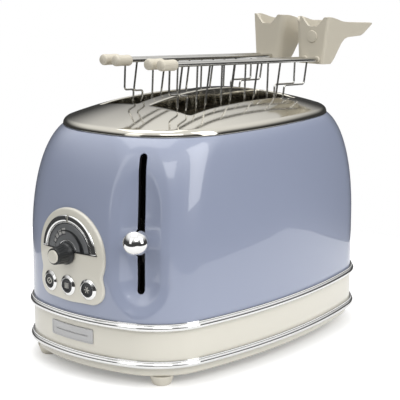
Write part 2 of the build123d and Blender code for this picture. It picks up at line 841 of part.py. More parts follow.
ball_plane = Plane(origin=lever_axis + lever_out * ball_reach + Vector(0, 0, lever_rest_height),
                   x_dir=(0, 0, 1), z_dir=lever_out)
with BuildPart() as lever_ball:
    with BuildSketch(ball_plane):
        with BuildLine():
            CenterArc((0, 0), ball_radius, -90, 180)
            Line((0, -ball_radius), (0, ball_radius))
        make_face()
    revolve(axis=Axis(ball_plane.origin, ball_plane.y_dir))
    with BuildSketch(ball_plane.offset(-ball_radius / 4 + join_gap)):
        Rectangle(lever_bar[1] + 2 * join_gap, lever_bar[0] + 2 * join_gap)
    extrude(amount=-2 * ball_radius, mode=Mode.SUBTRACT)
save(lever_ball.part, "lever_ball")

# Bread racks: a bar with cross fingers under each slot
for y, name in ((-slot_middle_y, "near_bread_rack"), (slot_middle_y, "far_bread_rack")):
    with BuildPart() as bread_rack:
        front = block_rear + cross_sheet + join_gap
        with BuildSketch(Plane.XZ.offset(-y - rack_bar[0] / 2)):
            with Locations(((front + rack_rear) / 2, rack_height)):
                Rectangle(rack_rear - front, rack_bar[1])
        extrude(amount=rack_bar[0])
        with BuildSketch(Plane.XY.offset(rack_high)):
            with Locations((slot_middle_x, y)):
                with GridLocations(slot_length * 0.92 / (rack_fingers - 1), 1, rack_fingers, 1):
                    Rectangle(finger_sheet, 2 * rack_half_width)
        extrude(amount=-finger_height)
    save(bread_rack.part, name)

# Guide rods, lifting spring and latch magnet
with BuildPart() as guide_rods:
    with BuildSketch(Plane.XY.offset(lower_shelf - rod_overrun)):
        with Locations(*rod_places):
            Circle(rod_radius)
    extrude(amount=upper_shelf + shelf_sheet - lower_shelf + 2 * rod_overrun)
save(guide_rods.part, "guide_rods")

with BuildPart() as carriage_spring:
    with BuildSketch(Plane.XY.offset(lower_shelf + shelf_sheet + join_gap)):
        with Locations(rod_places[0]):
            Circle(spring_outer_radius)
            Circle(spring_inner_radius, mode=Mode.SUBTRACT)
    extrude(amount=carriage_bottom - lower_shelf - shelf_sheet - 2 * join_gap)
save(carriage_spring.part, "carriage_spring")

with BuildPart() as latch_magnet:
    with BuildSketch(Plane.XY.offset(lower_shelf + shelf_sheet + join_gap)):
        with Locations((-rod_x, 0)):
            Rectangle(magnet_length, 2 * magnet_half_width)
    extrude(amount=carriage_bottom - lever_down - loose_gap - lower_shelf - shelf_sheet - join_gap)
save(latch_magnet.part, "latch_magnet")

# Crumb tray: shallow tray whose end fills the window in the skirt
with BuildPart() as tray_hollow:
    add(prism(skirt_inset + skirt_wall, tray_bottom + tray_sheet, tray_bottom + 2 * tray_height))
    with BuildSketch(Plane.XY.offset(tray_bottom + tray_sheet)):
        with Locations((tray_front_x + tray_sheet + body_outline[0], 0)):
            Rectangle(2 * body_outline[0], 2 * (tray_half_width - tray_sheet))
    extrude(amount=2 * tray_height, mode=Mode.INTERSECT)

with BuildPart() as crumb_tray:
    add(prism(skirt_inset, tray_bottom, tray_bottom + tray_height))
    with BuildSketch(Plane.XY.offset(tray_bottom)):
        with Locations((tray_front_x + body_outline[0], 0)):
            Rectangle(2 * body_outline[0], 2 * tray_half_width)
    extrude(amount=tray_height, mode=Mode.INTERSECT)
    add(tray_hollow.part, mode=Mode.SUBTRACT)
    with BuildSketch(Plane.XY.offset(tray_bottom)):
        with Locations((body_outline[0] - skirt_inset + tray_lip / 2 - 1, 0)):
            Rectangle(tray_lip + 2, tray_half_width)
    extrude(amount=tray_sheet * 1.5)
save(crumb_tray.part, "crumb_tray")

# Sandwich tongs, drawn about the point between the rails and then set in their slots
wall_back = handle_front + handle_wall
far_wall = wall_back + handle_gap


def jaw(side, rear, lean):
    """Rail and wire cage of one jaw; the cage leans from its rail towards the other jaw."""
    front_x = cage_front - front_jog
    rear_x = cage_rear + rear_jog
    with BuildPart() as half:
        with BuildSketch(Plane.YZ.offset(rail_front)):
            Circle(rail_radius)
        extrude(amount=rear - rail_front)
        with BuildLine():
            path = FilletPolyline((front_x, 0, 0), (front_x, 0, -front_jog_drop),
                                  (cage_front, 0, -front_jog_drop), (cage_front, 0, -cage_depth),
                                  (cage_rear, 0, -cage_depth), (cage_rear, 0, -rear_jog_drop),
                                  (rear_x, 0, -rear_jog_drop), (rear_x, 0, 0), radius=jog_bend)
        with BuildSketch(Plane.XY):
            with Locations((front_x, 0)):
                Circle(cage_wire)
        sweep(path=path)
        with BuildSketch(Plane.XY):
            with Locations(*((first_wire + i * wire_spacing, 0) for i in range(inner_wires))):
                Circle(cage_wire)
        extrude(amount=-cage_depth)
    return half.part.moved(Location((0, side * jaw_half_gap, 0), (-side * lean, 0, 0)))


def tip(side):
    """Waisted sleeve over the front end of one rail."""
    y = side * jaw_half_gap
    start = tip_middle - tip_length / 2
    end = tip_middle + tip_length / 2
    bore = rail_radius + join_gap
    with BuildPart() as sleeve:
        with BuildSketch(Plane(origin=(0, y, 0), x_dir=(1, 0, 0), z_dir=(0, -1, 0))):
            with BuildLine():
                Line((start, 0), (start, tip_radius - tip_end))
                TangentArc((start, tip_radius - tip_end), (start + tip_end, tip_radius),
                           tangent=(0, 1))
                ThreePointArc((start + tip_end, tip_radius), (tip_middle, tip_waist),
                              (end - tip_end, tip_radius))
                TangentArc((end, tip_radius - tip_end), (end - tip_end, tip_radius),
                           tangent=(0, 1))
                Polyline((end, tip_radius - tip_end), (end, bore), (rail_front - join_gap, bore),
                         (rail_front - join_gap, 0), (start, 0))
            make_face()
        revolve(axis=Axis((0, y, 0), (1, 0, 0)))
    return sleeve.part


def wing(side, start):
    """Slanted side wall of one handle half, from start backwards."""
    low, high = handle_half_bottom, handle_half_top
    slant = (high - low) / (handle_top - handle_bottom)
    with BuildPart() as wall:
        with BuildSketch(Plane.XZ):
            Polygon(*((handle_front + x, z) for x, z in wing_profile), align=None)
        extrude(amount=-side * 2 * handle_half_top)
        with BuildSketch(Plane.YZ.offset(start)):
            Polygon(*((side * y, z) for y, z in (
                (low - slant, handle_bottom - 10 * slant), (high + slant, handle_top + 10 * slant),
                (high + slant - handle_side, handle_top + 10 * slant),
                (low - slant - handle_side, handle_bottom - 10 * slant))), align=None)
        extrude(amount=100, mode=Mode.INTERSECT)
    return wall.part


def near_half():
    """Handle half with the front wall and the near wing, and a window for the other rail's swing."""
    swing = radians(tong_opening)
    open_y = jaw_half_gap * cos(swing) + pivot_height * sin(swing)
    open_z = pivot_height * (1 - cos(swing)) + jaw_half_gap * sin(swing)
    margin = rail_radius + window_gap
    with BuildPart() as half:
        with BuildSketch(Plane.YZ.offset(handle_front)):
            Polygon((-handle_half_bottom, handle_bottom), (handle_half_bottom, handle_bottom),
                    (handle_half_top, handle_top), (-handle_half_top, handle_top), align=None)
            with Locations((0, handle_scoop + handle_top)):
                RectangleRounded(2 * scoop_half_width, 2 * handle_top, scoop_corner,
                                 mode=Mode.SUBTRACT)
            with Locations(((jaw_half_gap + open_y) / 2, open_z / 2)):
                RectangleRounded(open_y - jaw_half_gap + 2 * margin, open_z + 2 * margin,
                                 window_corner, mode=Mode.SUBTRACT)
        extrude(amount=handle_wall)
        add(wing(-1, handle_front))
        with BuildSketch(Plane.YZ.offset(handle_front)):
            with Locations((0, pivot_height)):
                Circle(pin_radius + join_gap)
            with Locations((-jaw_half_gap, 0)):
                Circle(rail_radius + join_gap)
        extrude(amount=handle_wall, mode=Mode.SUBTRACT)
    return half.part


def far_half():
    """Handle half with the inner wall and the far wing."""
    with BuildPart() as half:
        with BuildSketch(Plane.YZ.offset(far_wall)):
            Polygon((-back_wall_side, handle_bottom), (handle_half_bottom, handle_bottom),
                    (handle_half_bottom + 3, back_wall_top), (-back_wall_side, back_wall_top),
                    align=None)
        extrude(amount=handle_wall)
        add(wing(1, far_wall))
        with BuildSketch(Plane.YZ.offset(far_wall)):
            with Locations((0, pivot_height)):
                Circle(pin_radius + running_gap)
            with Locations((jaw_half_gap, 0)):
                Circle(rail_radius + join_gap)
        extrude(amount=handle_wall, mode=Mode.SUBTRACT)
    return half.part


def pin():
    """Pivot pin with a head at each end."""
    back = far_wall + handle_wall + 2 * loose_gap + spring_length
    with BuildPart() as piece:
        with BuildSketch(Plane.YZ.offset(handle_front - join_gap)):
            with Locations((0, pivot_height)):
                Circle(pin_head_radius)
        extrude(amount=-pin_head)
        with BuildSketch(Plane.YZ.offset(handle_front - join_gap)):
            with Locations((0, pivot_height)):
                Circle(pin_radius)
        extrude(amount=back + pin_head - handle_front + join_gap)
        with BuildSketch(Plane.YZ.offset(back)):
            with Locations((0, pivot_height)):
                Circle(pin_head_radius - 1)
        extrude(amount=pin_head)
    return piece.part


def tong_spring():
    """Plain sleeve in the place of the wound spring on the pin."""
    with BuildPart() as piece:
        with BuildSketch(Plane.YZ.offset(far_wall + handle_wall + loose_gap)):
            with Locations((0, pivot_height)):
                Circle(pin_radius + 1.6)
                Circle(pin_radius + loose_gap, mode=Mode.SUBTRACT)
        extrude(amount=spring_length)
    return piece.part


tilt = radians(tong_tilt)
for shift, y, name in ((0, near_tong_y, "near_tong"), (far_tong_shift, far_tong_y, "far_tong")):
    place = Plane(origin=(shift, y, tong_height), x_dir=(cos(tilt), 0, -sin(tilt)),
                  z_dir=(sin(tilt), 0, cos(tilt))).location
    save(jaw(-1, rail_rear, cage_lean).moved(place), f"{name}_near_jaw")
    save(jaw(1, far_wall + handle_wall / 2, 0).moved(place), f"{name}_far_jaw")
    save(tip(-1).moved(place), f"{name}_near_tip")
    save(tip(1).moved(place), f"{name}_far_tip")
    save(near_half().moved(place), f"{name}_near_handle")
    save(far_half().moved(place), f"{name}_far_handle")
    save(pin().moved(place), f"{name}_pivot_pin")
    save(tong_spring().moved(place), f"{name}_spring")
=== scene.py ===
import bmesh
import bpy
import numpy as np
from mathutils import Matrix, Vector


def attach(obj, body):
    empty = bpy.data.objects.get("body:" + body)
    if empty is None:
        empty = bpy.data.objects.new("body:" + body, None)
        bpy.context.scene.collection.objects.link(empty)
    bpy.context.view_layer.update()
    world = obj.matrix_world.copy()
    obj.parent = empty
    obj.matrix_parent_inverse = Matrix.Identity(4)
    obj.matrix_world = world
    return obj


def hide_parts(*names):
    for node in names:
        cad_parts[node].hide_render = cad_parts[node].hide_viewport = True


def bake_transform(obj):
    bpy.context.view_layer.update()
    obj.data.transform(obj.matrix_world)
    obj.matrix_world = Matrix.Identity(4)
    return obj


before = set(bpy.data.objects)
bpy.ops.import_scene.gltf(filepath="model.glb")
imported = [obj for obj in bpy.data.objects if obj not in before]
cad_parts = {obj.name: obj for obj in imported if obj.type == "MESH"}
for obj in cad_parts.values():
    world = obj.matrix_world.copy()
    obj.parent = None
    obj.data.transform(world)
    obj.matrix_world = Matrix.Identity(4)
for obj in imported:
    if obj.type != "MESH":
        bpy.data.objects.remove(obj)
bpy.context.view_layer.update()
print("frame loaded:", len(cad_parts), "CAD pieces")

# Sizes that several pieces share, in metres
# An outline is half length, half width, then side, end and corner radii
bodySizes = {
    "outline": (0.150, 0.097, 0.476, 0.163, 0.055),
    "rim": (0.124, 0.085, 0.395, 0.247, 0.072),
    "shoulderStart": 0.100,
    "shoulderReach": 0.095,
    "rimHeight": 0.1914,
    "rimBand": 0.0057,
    "crown": 0.0185,
    "upperRing": 0.0488,
    "lowerRing": 0.0190,
    "skirtBottom": 0.0080,
    "skirtInset": 0.0029,
    "wall": 0.0015,
}
aroundCounts = (44, 26, 30, 26, 44, 26, 30, 26)  # columns in each of the eight arcs of an outline


# Meshes

def addPiece(name, points, faces, material, body, replaced=(), solid=0.0, bevel=0.0, sharp=38):
    # makes the mesh, closes its seams and poles, turns its faces outwards and puts it on its body
    mesh = bpy.data.meshes.new(name)
    mesh.from_pydata(np.asarray(points, float).reshape(-1, 3).tolist(), [], [list(f) for f in faces])
    work = bmesh.new()
    work.from_mesh(mesh)
    bmesh.ops.delete(work, geom=[v for v in work.verts if not v.link_faces], context="VERTS")
    bmesh.ops.remove_doubles(work, verts=work.verts, dist=2e-6)
    bmesh.ops.dissolve_degenerate(work, edges=work.edges, dist=1e-7)
    bmesh.ops.recalc_face_normals(work, faces=work.faces)
    work.to_mesh(mesh)
    work.free()
    mesh.shade_smooth()
    mesh.set_sharp_from_angle(angle=np.radians(sharp))
    mesh.materials.append(material)
    piece = bpy.data.objects.new(name, mesh)
    bpy.context.scene.collection.objects.link(piece)
    if solid:
        wall = piece.modifiers.new("wall", "SOLIDIFY")
        wall.thickness = solid
        wall.offset = -1
    if bevel:
        edge = piece.modifiers.new("edge", "BEVEL")
        edge.width = bevel
        edge.segments = 3
        edge.limit_method = "ANGLE"
        edge.angle_limit = np.radians(40)
        edge.harden_normals = True
    if body:
        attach(piece, body)
    if replaced:
        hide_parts(*([replaced] if isinstance(replaced, str) else replaced))
    return piece


def gridFaces(rows, cols, closedCols=False, first=0):
    # quads between neighbours of a grid of points, as index arrays
    across = cols if closedCols else cols - 1
    r, c = np.meshgrid(np.arange(rows - 1), np.arange(across), indexing="ij")
    nextCol = (c + 1) % cols
    quads = np.stack([r * cols + c, r * cols + nextCol, (r + 1) * cols + nextCol, (r + 1) * cols + c], -1)
    return quads.reshape(-1, 4) + first


def roundFaces(grid):
    # faces of one point grid that closes on itself round its columns
    return gridFaces(*grid.shape[:2], closedCols=True)


def joinGrids(grids):
    # several point grids as one list of points and faces; each entry is (grid, closed)
    points, faces, first = [], [], 0
    for grid, closed in grids:
        rows, cols = grid.shape[:2]
        points.append(grid.reshape(-1, 3))
        faces.append(gridFaces(rows, cols, closed, first))
        first += rows * cols
    return np.concatenate(points), np.concatenate(faces)


def roundedPath(corners, radii, steps=6, closed=False):
    # straight runs joined by arcs: each corner is cut back by the tangent length and an arc is drawn between
    corners = np.asarray(corners, float)
    count = len(corners)
    radii = np.broadcast_to(radii, count)
    path = []
    for i in range(count):
        if not closed and i in (0, count - 1) or radii[i] <= 0:
            path.append(corners[i][None])
            continue
        before = corners[i - 1] - corners[i]
        after = corners[(i + 1) % count] - corners[i]
        u = before / np.linalg.norm(before)
        v = after / np.linalg.norm(after)
        half = np.arccos(np.clip(u @ v, -1, 1)) / 2
        if half > np.pi / 2 - 0.02:
            path.append(corners[i][None])
            continue
        cut = min(radii[i] / np.tan(half), 0.49 * np.linalg.norm(before), 0.49 * np.linalg.norm(after))
        radius = cut * np.tan(half)
        middle = corners[i] + (u + v) / np.linalg.norm(u + v) * radius / np.sin(half)
        start = corners[i] + u * cut - middle
        end = corners[i] + v * cut - middle
        turn = np.pi - 2 * half
        share = np.linspace(0, 1, steps + 1)[:, None]
        path.append(middle + (start * np.sin((1 - share) * turn) + end * np.sin(share * turn)) / np.sin(turn))
    return np.concatenate(path)


def tubeGrid(path, radius, sides=12, across=(0, 1, 0)):
    # round section carried along a flat path; across is the direction square to the path's plane
    path = np.asarray(path, float)
    along = np.gradient(path, axis=0)
    along /= np.linalg.norm(along, axis=1)[:, None]
    across = np.broadcast_to(np.asarray(across, float), along.shape)
    side = np.cross(across, along)
    side /= np.linalg.norm(side, axis=1)[:, None]
    turn = np.linspace(0, 2 * np.pi, sides, endpoint=False)[None, :, None]
    radii = np.broadcast_to(radius, len(path))[:, None, None]
    ring = path[:, None] + radii * (np.cos(turn) * side[:, None] + np.sin(turn) * across[:, None])
    first = np.broadcast_to(path[0], (1, sides, 3))
    last = np.broadcast_to(path[-1], (1, sides, 3))
    return np.concatenate([first, ring, last])


def latheGrid(profile, origin, axis, up=(0, 0, 1), sides=64):
    # profile of (distance along the axis, radius) turned round the axis
    axis = np.asarray(axis, float) / np.linalg.norm(axis)
    u = np.cross(up, axis)
    u /= np.linalg.norm(u)
    v = np.cross(axis, u)
    turn = np.linspace(0, 2 * np.pi, sides, endpoint=False)[None, :, None]
    profile = np.asarray(profile, float)
    return (np.asarray(origin, float) + profile[:, 0][:, None, None] * axis
            + profile[:, 1][:, None, None] * (np.cos(turn) * u + np.sin(turn) * v))


# The body's surface

def shoulderShare(z):
    # 0 up to the shoulder, then a circle's quarter curve that reaches 1 at the rim
    def curve(height):
        rise = np.clip((height - bodySizes["shoulderStart"]) / bodySizes["shoulderReach"], 0, 1)
        return 1 - np.sqrt(1 - rise ** 2)
    return curve(np.asarray(z, float)) / curve(bodySizes["rimHeight"])


def shapeAt(z, out=0.0):
    # the five sizes of the outline at each height, moved outwards by out
    share = shoulderShare(z)
    return [low + (high - low) * share + out for low, high in zip(bodySizes["outline"], bodySizes["rim"])]


def cornerCentre(shape):
    # centre of the corner circle that touches the side and end arcs from inside
    halfLength, halfWidth, sideRadius, endRadius, cornerRadius = shape
    sideY, endX = halfWidth - sideRadius, halfLength - endRadius
    span = np.hypot(endX, sideY)
    toSide, toEnd = sideRadius - cornerRadius, endRadius - cornerRadius
    along = (toSide ** 2 - toEnd ** 2 + span ** 2) / (2 * span)
    offset = np.sqrt(toSide ** 2 - along ** 2)
    ux, uy = endX / span, -sideY / span
    return along * ux + offset * uy, sideY + along * uy - offset * ux


def ovalPoints(shape, t):
    # points of the outline of eight tangent arcs: t's whole part is the arc, its fraction the way along it
    halfLength, halfWidth, sideRadius, endRadius, cornerRadius = [np.asarray(size, float) for size in shape]
    sideY, endX = halfWidth - sideRadius, halfLength - endRadius
    cx, cy = cornerCentre(shape)
    sideTurn = np.arctan2(cy - sideY, cx)
    endTurn = np.arctan2(cy, cx - endX)
    corner = sideTurn - endTurn
    nil = cx * 0
    centreX = [nil, -cx, -endX, -cx, nil, cx, endX, cx]
    centreY = [sideY, cy, nil, -cy, -sideY, -cy, nil, cy]
    radius = [size + nil for size in (sideRadius, cornerRadius, endRadius, cornerRadius) * 2]
    start = [sideTurn, np.pi - sideTurn, np.pi - endTurn, np.pi + endTurn,
             np.pi + sideTurn, -sideTurn, -endTurn, endTurn]
    sweep = [np.pi - 2 * sideTurn, corner, 2 * endTurn, corner] * 2
    arc = np.floor(t).astype(int) % 8
    angle = np.choose(arc, start) + np.choose(arc, sweep) * (t - np.floor(t))
    x = np.choose(arc, centreX) + np.choose(arc, radius) * np.cos(angle)
    y = np.choose(arc, centreY) + np.choose(arc, radius) * np.sin(angle)
    return x, y


aroundT = np.concatenate([i + np.arange(n) / n for i, n in enumerate(aroundCounts)])


def bandGrid(profile, outline=bodySizes["outline"], t=aroundT):
    # profile of (outwards, height) carried round the outline
    out, height = np.asarray(profile, float).T
    x, y = ovalPoints([size + out[:, None] for size in outline], t[None, :])
    return np.stack([x, y, np.broadcast_to(height[:, None], x.shape)], -1)


def frontX(y, z, raised=0.0):
    # x of the front end's surface at (y, z), raised outwards
    halfLength, _, _, endRadius, _ = shapeAt(z)
    return endRadius - halfLength - np.sqrt((endRadius + raised) ** 2 - np.asarray(y) ** 2)


def frontPoints(y, z, raised):
    return np.stack(np.broadcast_arrays(frontX(y, z, raised), y, z), -1)


# Node groups for effects that several finishes share

def newGroup(name, inputs, outputs):
    group = bpy.data.node_groups.new(name, "ShaderNodeTree")
    for socket, kind, value in inputs:
        made = group.interface.new_socket(socket, in_out="INPUT", socket_type=kind)
        made.default_value = value
    for socket, kind in outputs:
        group.interface.new_socket(socket, in_out="OUTPUT", socket_type=kind)
    enter = group.nodes.new("NodeGroupInput")
    leave = group.nodes.new("NodeGroupOutput")
    return group, enter, leave


def addNode(tree, kind, **settings):
    node = tree.nodes.new(kind)
    for key, value in settings.items():
        if key.startswith("in_"):
            socket = key[3:]
            node.inputs[int(socket) if socket.isdigit() else socket.replace("_", " ")].default_value = value
        else:
            setattr(node, key, value)
    return node


def grainGroup():
    # streaks of brushed metal: noise stretched along one axis, as height and a mask
    group, enter, leave = newGroup("brushedGrain", [("Stretch", "NodeSocketVector", (4.0, 900.0, 900.0)),
                                                    ("Fine", "NodeSocketFloat", 1.0)],
                                   [("Mask", "NodeSocketFloat"), ("Height", "NodeSocketFloat")])
    place = addNode(group, "ShaderNodeTexCoord")
    scale = addNode(group, "ShaderNodeVectorMath", operation="MULTIPLY")
    noise = addNode(group, "ShaderNodeTexNoise", in_Detail=3.0, in_Roughness=0.6)
    ramp = addNode(group, "ShaderNodeMapRange", in_1=0.3, in_2=0.7)
    group.links.new(place.outputs["Object"], scale.inputs[0])
    group.links.new(enter.outputs["Stretch"], scale.inputs[1])
    group.links.new(scale.outputs[0], noise.inputs["Vector"])
    group.links.new(enter.outputs["Fine"], noise.inputs["Scale"])
    group.links.new(noise.outputs[0], ramp.inputs[0])
    group.links.new(ramp.outputs[0], leave.inputs["Mask"])
    group.links.new(noise.outputs[0], leave.inputs["Height"])
    return group


def unevenGroup():
    # slow unevenness of a surface's colour and gloss, with fine grain on top
    group, enter, leave = newGroup("uneven", [("Colour", "NodeSocketColor", (0.5, 0.5, 0.5, 1)),
                                              ("Shade", "NodeSocketFloat", 0.06),
                                              ("Broad", "NodeSocketFloat", 12.0),
                                              ("Grain", "NodeSocketFloat", 900.0),
                                              ("Rough", "NodeSocketFloat", 0.3),
                                              ("Rough spread", "NodeSocketFloat", 0.05)],
                                   [("Colour", "NodeSocketColor"), ("Roughness", "NodeSocketFloat"),
                                    ("Height", "NodeSocketFloat")])
    place = addNode(group, "ShaderNodeTexCoord")
    broad = addNode(group, "ShaderNodeTexNoise", in_Detail=3.0)
    fine = addNode(group, "ShaderNodeTexNoise", in_Detail=2.0)
    centred = addNode(group, "ShaderNodeMath", operation="SUBTRACT", in_1=0.5)
    shade = addNode(group, "ShaderNodeMath", operation="MULTIPLY_ADD", in_2=1.0)
    colour = addNode(group, "ShaderNodeVectorMath", operation="SCALE")
    rough = addNode(group, "ShaderNodeMath", operation="MULTIPLY_ADD")
    for noise, scale in ((broad, "Broad"), (fine, "Grain")):
        group.links.new(place.outputs["Object"], noise.inputs["Vector"])
        group.links.new(enter.outputs[scale], noise.inputs["Scale"])
    group.links.new(broad.outputs[0], centred.inputs[0])
    group.links.new(centred.outputs[0], shade.inputs[0])
    group.links.new(enter.outputs["Shade"], shade.inputs[1])
    group.links.new(enter.outputs["Colour"], colour.inputs[0])
    group.links.new(shade.outputs[0], colour.inputs["Scale"])
    group.links.new(centred.outputs[0], rough.inputs[0])
    group.links.new(enter.outputs["Rough spread"], rough.inputs[1])
    group.links.new(enter.outputs["Rough"], rough.inputs[2])
    group.links.new(colour.outputs[0], leave.inputs["Colour"])
    group.links.new(rough.outputs[0], leave.inputs["Roughness"])
    group.links.new(fine.outputs[0], leave.inputs["Height"])
    return group


brushedGrain = grainGroup()
uneven = unevenGroup()


def newMaterial(name, colour, metallic=0.0, coat=0.0, coatRough=0.03, rough=0.3, spread=0.05, shade=0.05,
                broad=12.0, grain=900.0, bump=0.05, bumpDepth=0.0002, brushed=None, ior=1.5):
    # a finish from the shared groups; brushed gives the stretch of the streaks, or None for a plain surface
    material = bpy.data.materials.new(name)
    material.use_nodes = True
    tree = material.node_tree
    shader = tree.nodes["Principled BSDF"]
    shader.inputs["Metallic"].default_value = metallic
    shader.inputs["Coat Weight"].default_value = coat
    shader.inputs["Coat Roughness"].default_value = coatRough
    shader.inputs["IOR"].default_value = ior
    surface = addNode(tree, "ShaderNodeGroup", node_tree=uneven)
    for key, value in (("Colour", (*colour, 1)), ("Shade", shade), ("Broad", broad), ("Grain", grain),
                       ("Rough", rough), ("Rough spread", spread)):
        surface.inputs[key].default_value = value
    relief = addNode(tree, "ShaderNodeBump", in_Strength=bump, in_Distance=bumpDepth)
    tree.links.new(surface.outputs["Colour"], shader.inputs["Base Color"])
    tree.links.new(relief.outputs[0], shader.inputs["Normal"])
    if brushed:
        grainNode = addNode(tree, "ShaderNodeGroup", node_tree=brushedGrain)
        grainNode.inputs["Stretch"].default_value = brushed
        mix = addNode(tree, "ShaderNodeMath", operation="MULTIPLY_ADD", in_1=spread * 2)
        tree.links.new(grainNode.outputs["Mask"], mix.inputs[0])
        tree.links.new(surface.outputs["Roughness"], mix.inputs[2])
        tree.links.new(mix.outputs[0], shader.inputs["Roughness"])
        tree.links.new(grainNode.outputs["Height"], relief.inputs["Height"])
    else:
        tree.links.new(surface.outputs["Roughness"], shader.inputs["Roughness"])
        tree.links.new(surface.outputs["Height"], relief.inputs["Height"])
    return material


finishes = {
    "bodyEnamel": newMaterial("bodyEnamel", (0.285, 0.320, 0.430), coat=0.9, rough=0.32, bump=0.02,
                              shade=0.03),
    "cream": newMaterial("cream", (0.66, 0.635, 0.555), coat=0.6, rough=0.3, bump=0.02, shade=0.03),
    "tongCream": newMaterial("tongCream", (0.62, 0.575, 0.475), rough=0.42, bump=0.06, shade=0.04),
    "plateSteel": newMaterial("plateSteel", (0.60, 0.575, 0.51), metallic=1.0, rough=0.08, spread=0.02,
                              brushed=(3.0, 700.0, 700.0), bump=0.015),
    "chrome": newMaterial("chrome", (0.80, 0.80, 0.79), metallic=1.0, rough=0.05, spread=0.02, bump=0.01),
    "wireSteel": newMaterial("wireSteel", (0.62, 0.61, 0.58), metallic=1.0, rough=0.2, bump=0.02),
    "sheetSteel": newMaterial("sheetSteel", (0.55, 0.54, 0.52), metallic=1.0, rough=0.3, spread=0.08,
                              brushed=(500.0, 500.0, 6.0), bump=0.03),
    "black": newMaterial("black", (0.012, 0.013, 0.014), rough=0.3, bump=0.04),
    # near lightless black with weak gloss: the slot lining's own colour, and also painted shade that makes
    # the slot read as dark inside
    "slotShadeBlack": newMaterial("slotShadeBlack", (0.002, 0.002, 0.002), rough=0.6, bump=0.04, ior=1.3),
    "buttonBlack": newMaterial("buttonBlack", (0.02, 0.021, 0.023), rough=0.35, bump=0.04),
    "scaleGrey": newMaterial("scaleGrey", (0.17, 0.175, 0.18), metallic=0.3, rough=0.35, bump=0.03),
    "scalePale": newMaterial("scalePale", (0.38, 0.375, 0.36), metallic=0.4, rough=0.35, bump=0.03),
    "mica": newMaterial("mica", (0.42, 0.38, 0.30), rough=0.5, shade=0.3, broad=60.0, grain=400.0, bump=0.2),
    "ribbon": newMaterial("ribbon", (0.28, 0.25, 0.23), metallic=1.0, rough=0.4, bump=0.05),
    "boardGreen": newMaterial("boardGreen", (0.04, 0.16, 0.08), rough=0.4, bump=0.05),
    "magnetGrey": newMaterial("magnetGrey", (0.25, 0.25, 0.26), metallic=0.6, rough=0.5, bump=0.1),
    "labelSilver": newMaterial("labelSilver", (0.5, 0.5, 0.5), metallic=1.0, rough=0.35, spread=0.05,
                               brushed=(500.0, 4.0, 500.0), bump=0.03),
    "footCream": newMaterial("footCream", (0.66, 0.625, 0.54), rough=0.45, bump=0.06, shade=0.05),
    "markPale": newMaterial("markPale", (0.55, 0.54, 0.5), rough=0.4, bump=0.03),
}
print("finishes made:", len(finishes))

# Body shell with the pressed recess and the lever's slot
leverSizes = {
    "angle": 24.8,
    "span": 0.030,  # half width of the finely divided strip round the slot
    "halfWidth": 0.0192,
    "depth": 0.0085,
    "topStart": 0.134,
    "topReach": 0.0425,
    "lowStart": 0.084,
    "lowReach": 0.022,
    "innerLine": 0.84,
    "outerLine": 1.25,
    "softness": 0.00018,
    "slotLow": 0.0731,
    "slotHigh": 0.1811,
    "slotHalf": 0.003,
    "restHeight": 0.1166,
    "ballRadius": 0.0102,
    "ballReach": 0.060,
}
leverTurn = np.radians(leverSizes["angle"])
leverAxis = -np.array(cornerCentre(bodySizes["outline"]))
leverOut = -np.array([np.cos(leverTurn), np.sin(leverTurn)])
leverAcross = np.array([np.sin(leverTurn), -np.cos(leverTurn)])


def recessDepth(s, z):
    # soft maximum of a hollow floor, a chamfer round it and nothing, over an arch with a tall top
    high = np.clip((z - leverSizes["topStart"]) / leverSizes["topReach"], 0, None)
    low = np.clip((leverSizes["lowStart"] - z) / leverSizes["lowReach"], 0, None)
    q = np.hypot(s / leverSizes["halfWidth"], high + low)
    floor = leverSizes["depth"] * (1 - q ** 2)
    edge = leverSizes["depth"] * (1 - leverSizes["innerLine"] ** 2)
    chamfer = edge * (leverSizes["outerLine"] - q) / (leverSizes["outerLine"] - leverSizes["innerLine"])
    k = leverSizes["softness"]
    return k * np.log(np.exp(floor / k) + np.exp(chamfer / k) + 1)


def cornerStrip(s, z, out):
    # the corner's surface on the lever's own axes, s across: end arc or corner circle, then pressed in
    shape = shapeAt(z, out)
    cx, cy = cornerCentre(shape)
    endX = shape[0] - shape[3]
    corner = np.stack([-cx, -cy], -1)
    end = np.stack([-endX, 0 * cy], -1)
    towards = corner - end
    touch = corner + shape[4][..., None] * towards / np.linalg.norm(towards, axis=-1)[..., None]

    def reach(centre, radius):
        aside = (leverAxis - centre) @ leverAcross + s
        return (centre - leverAxis) @ leverOut + np.sqrt(radius ** 2 - aside ** 2)

    onEnd = s < (touch - leverAxis) @ leverAcross
    distance = np.where(onEnd, reach(end, shape[3]), reach(corner, shape[4])) - recessDepth(s, z)
    return leverAxis + distance[..., None] * leverOut + s[..., None] * leverAcross


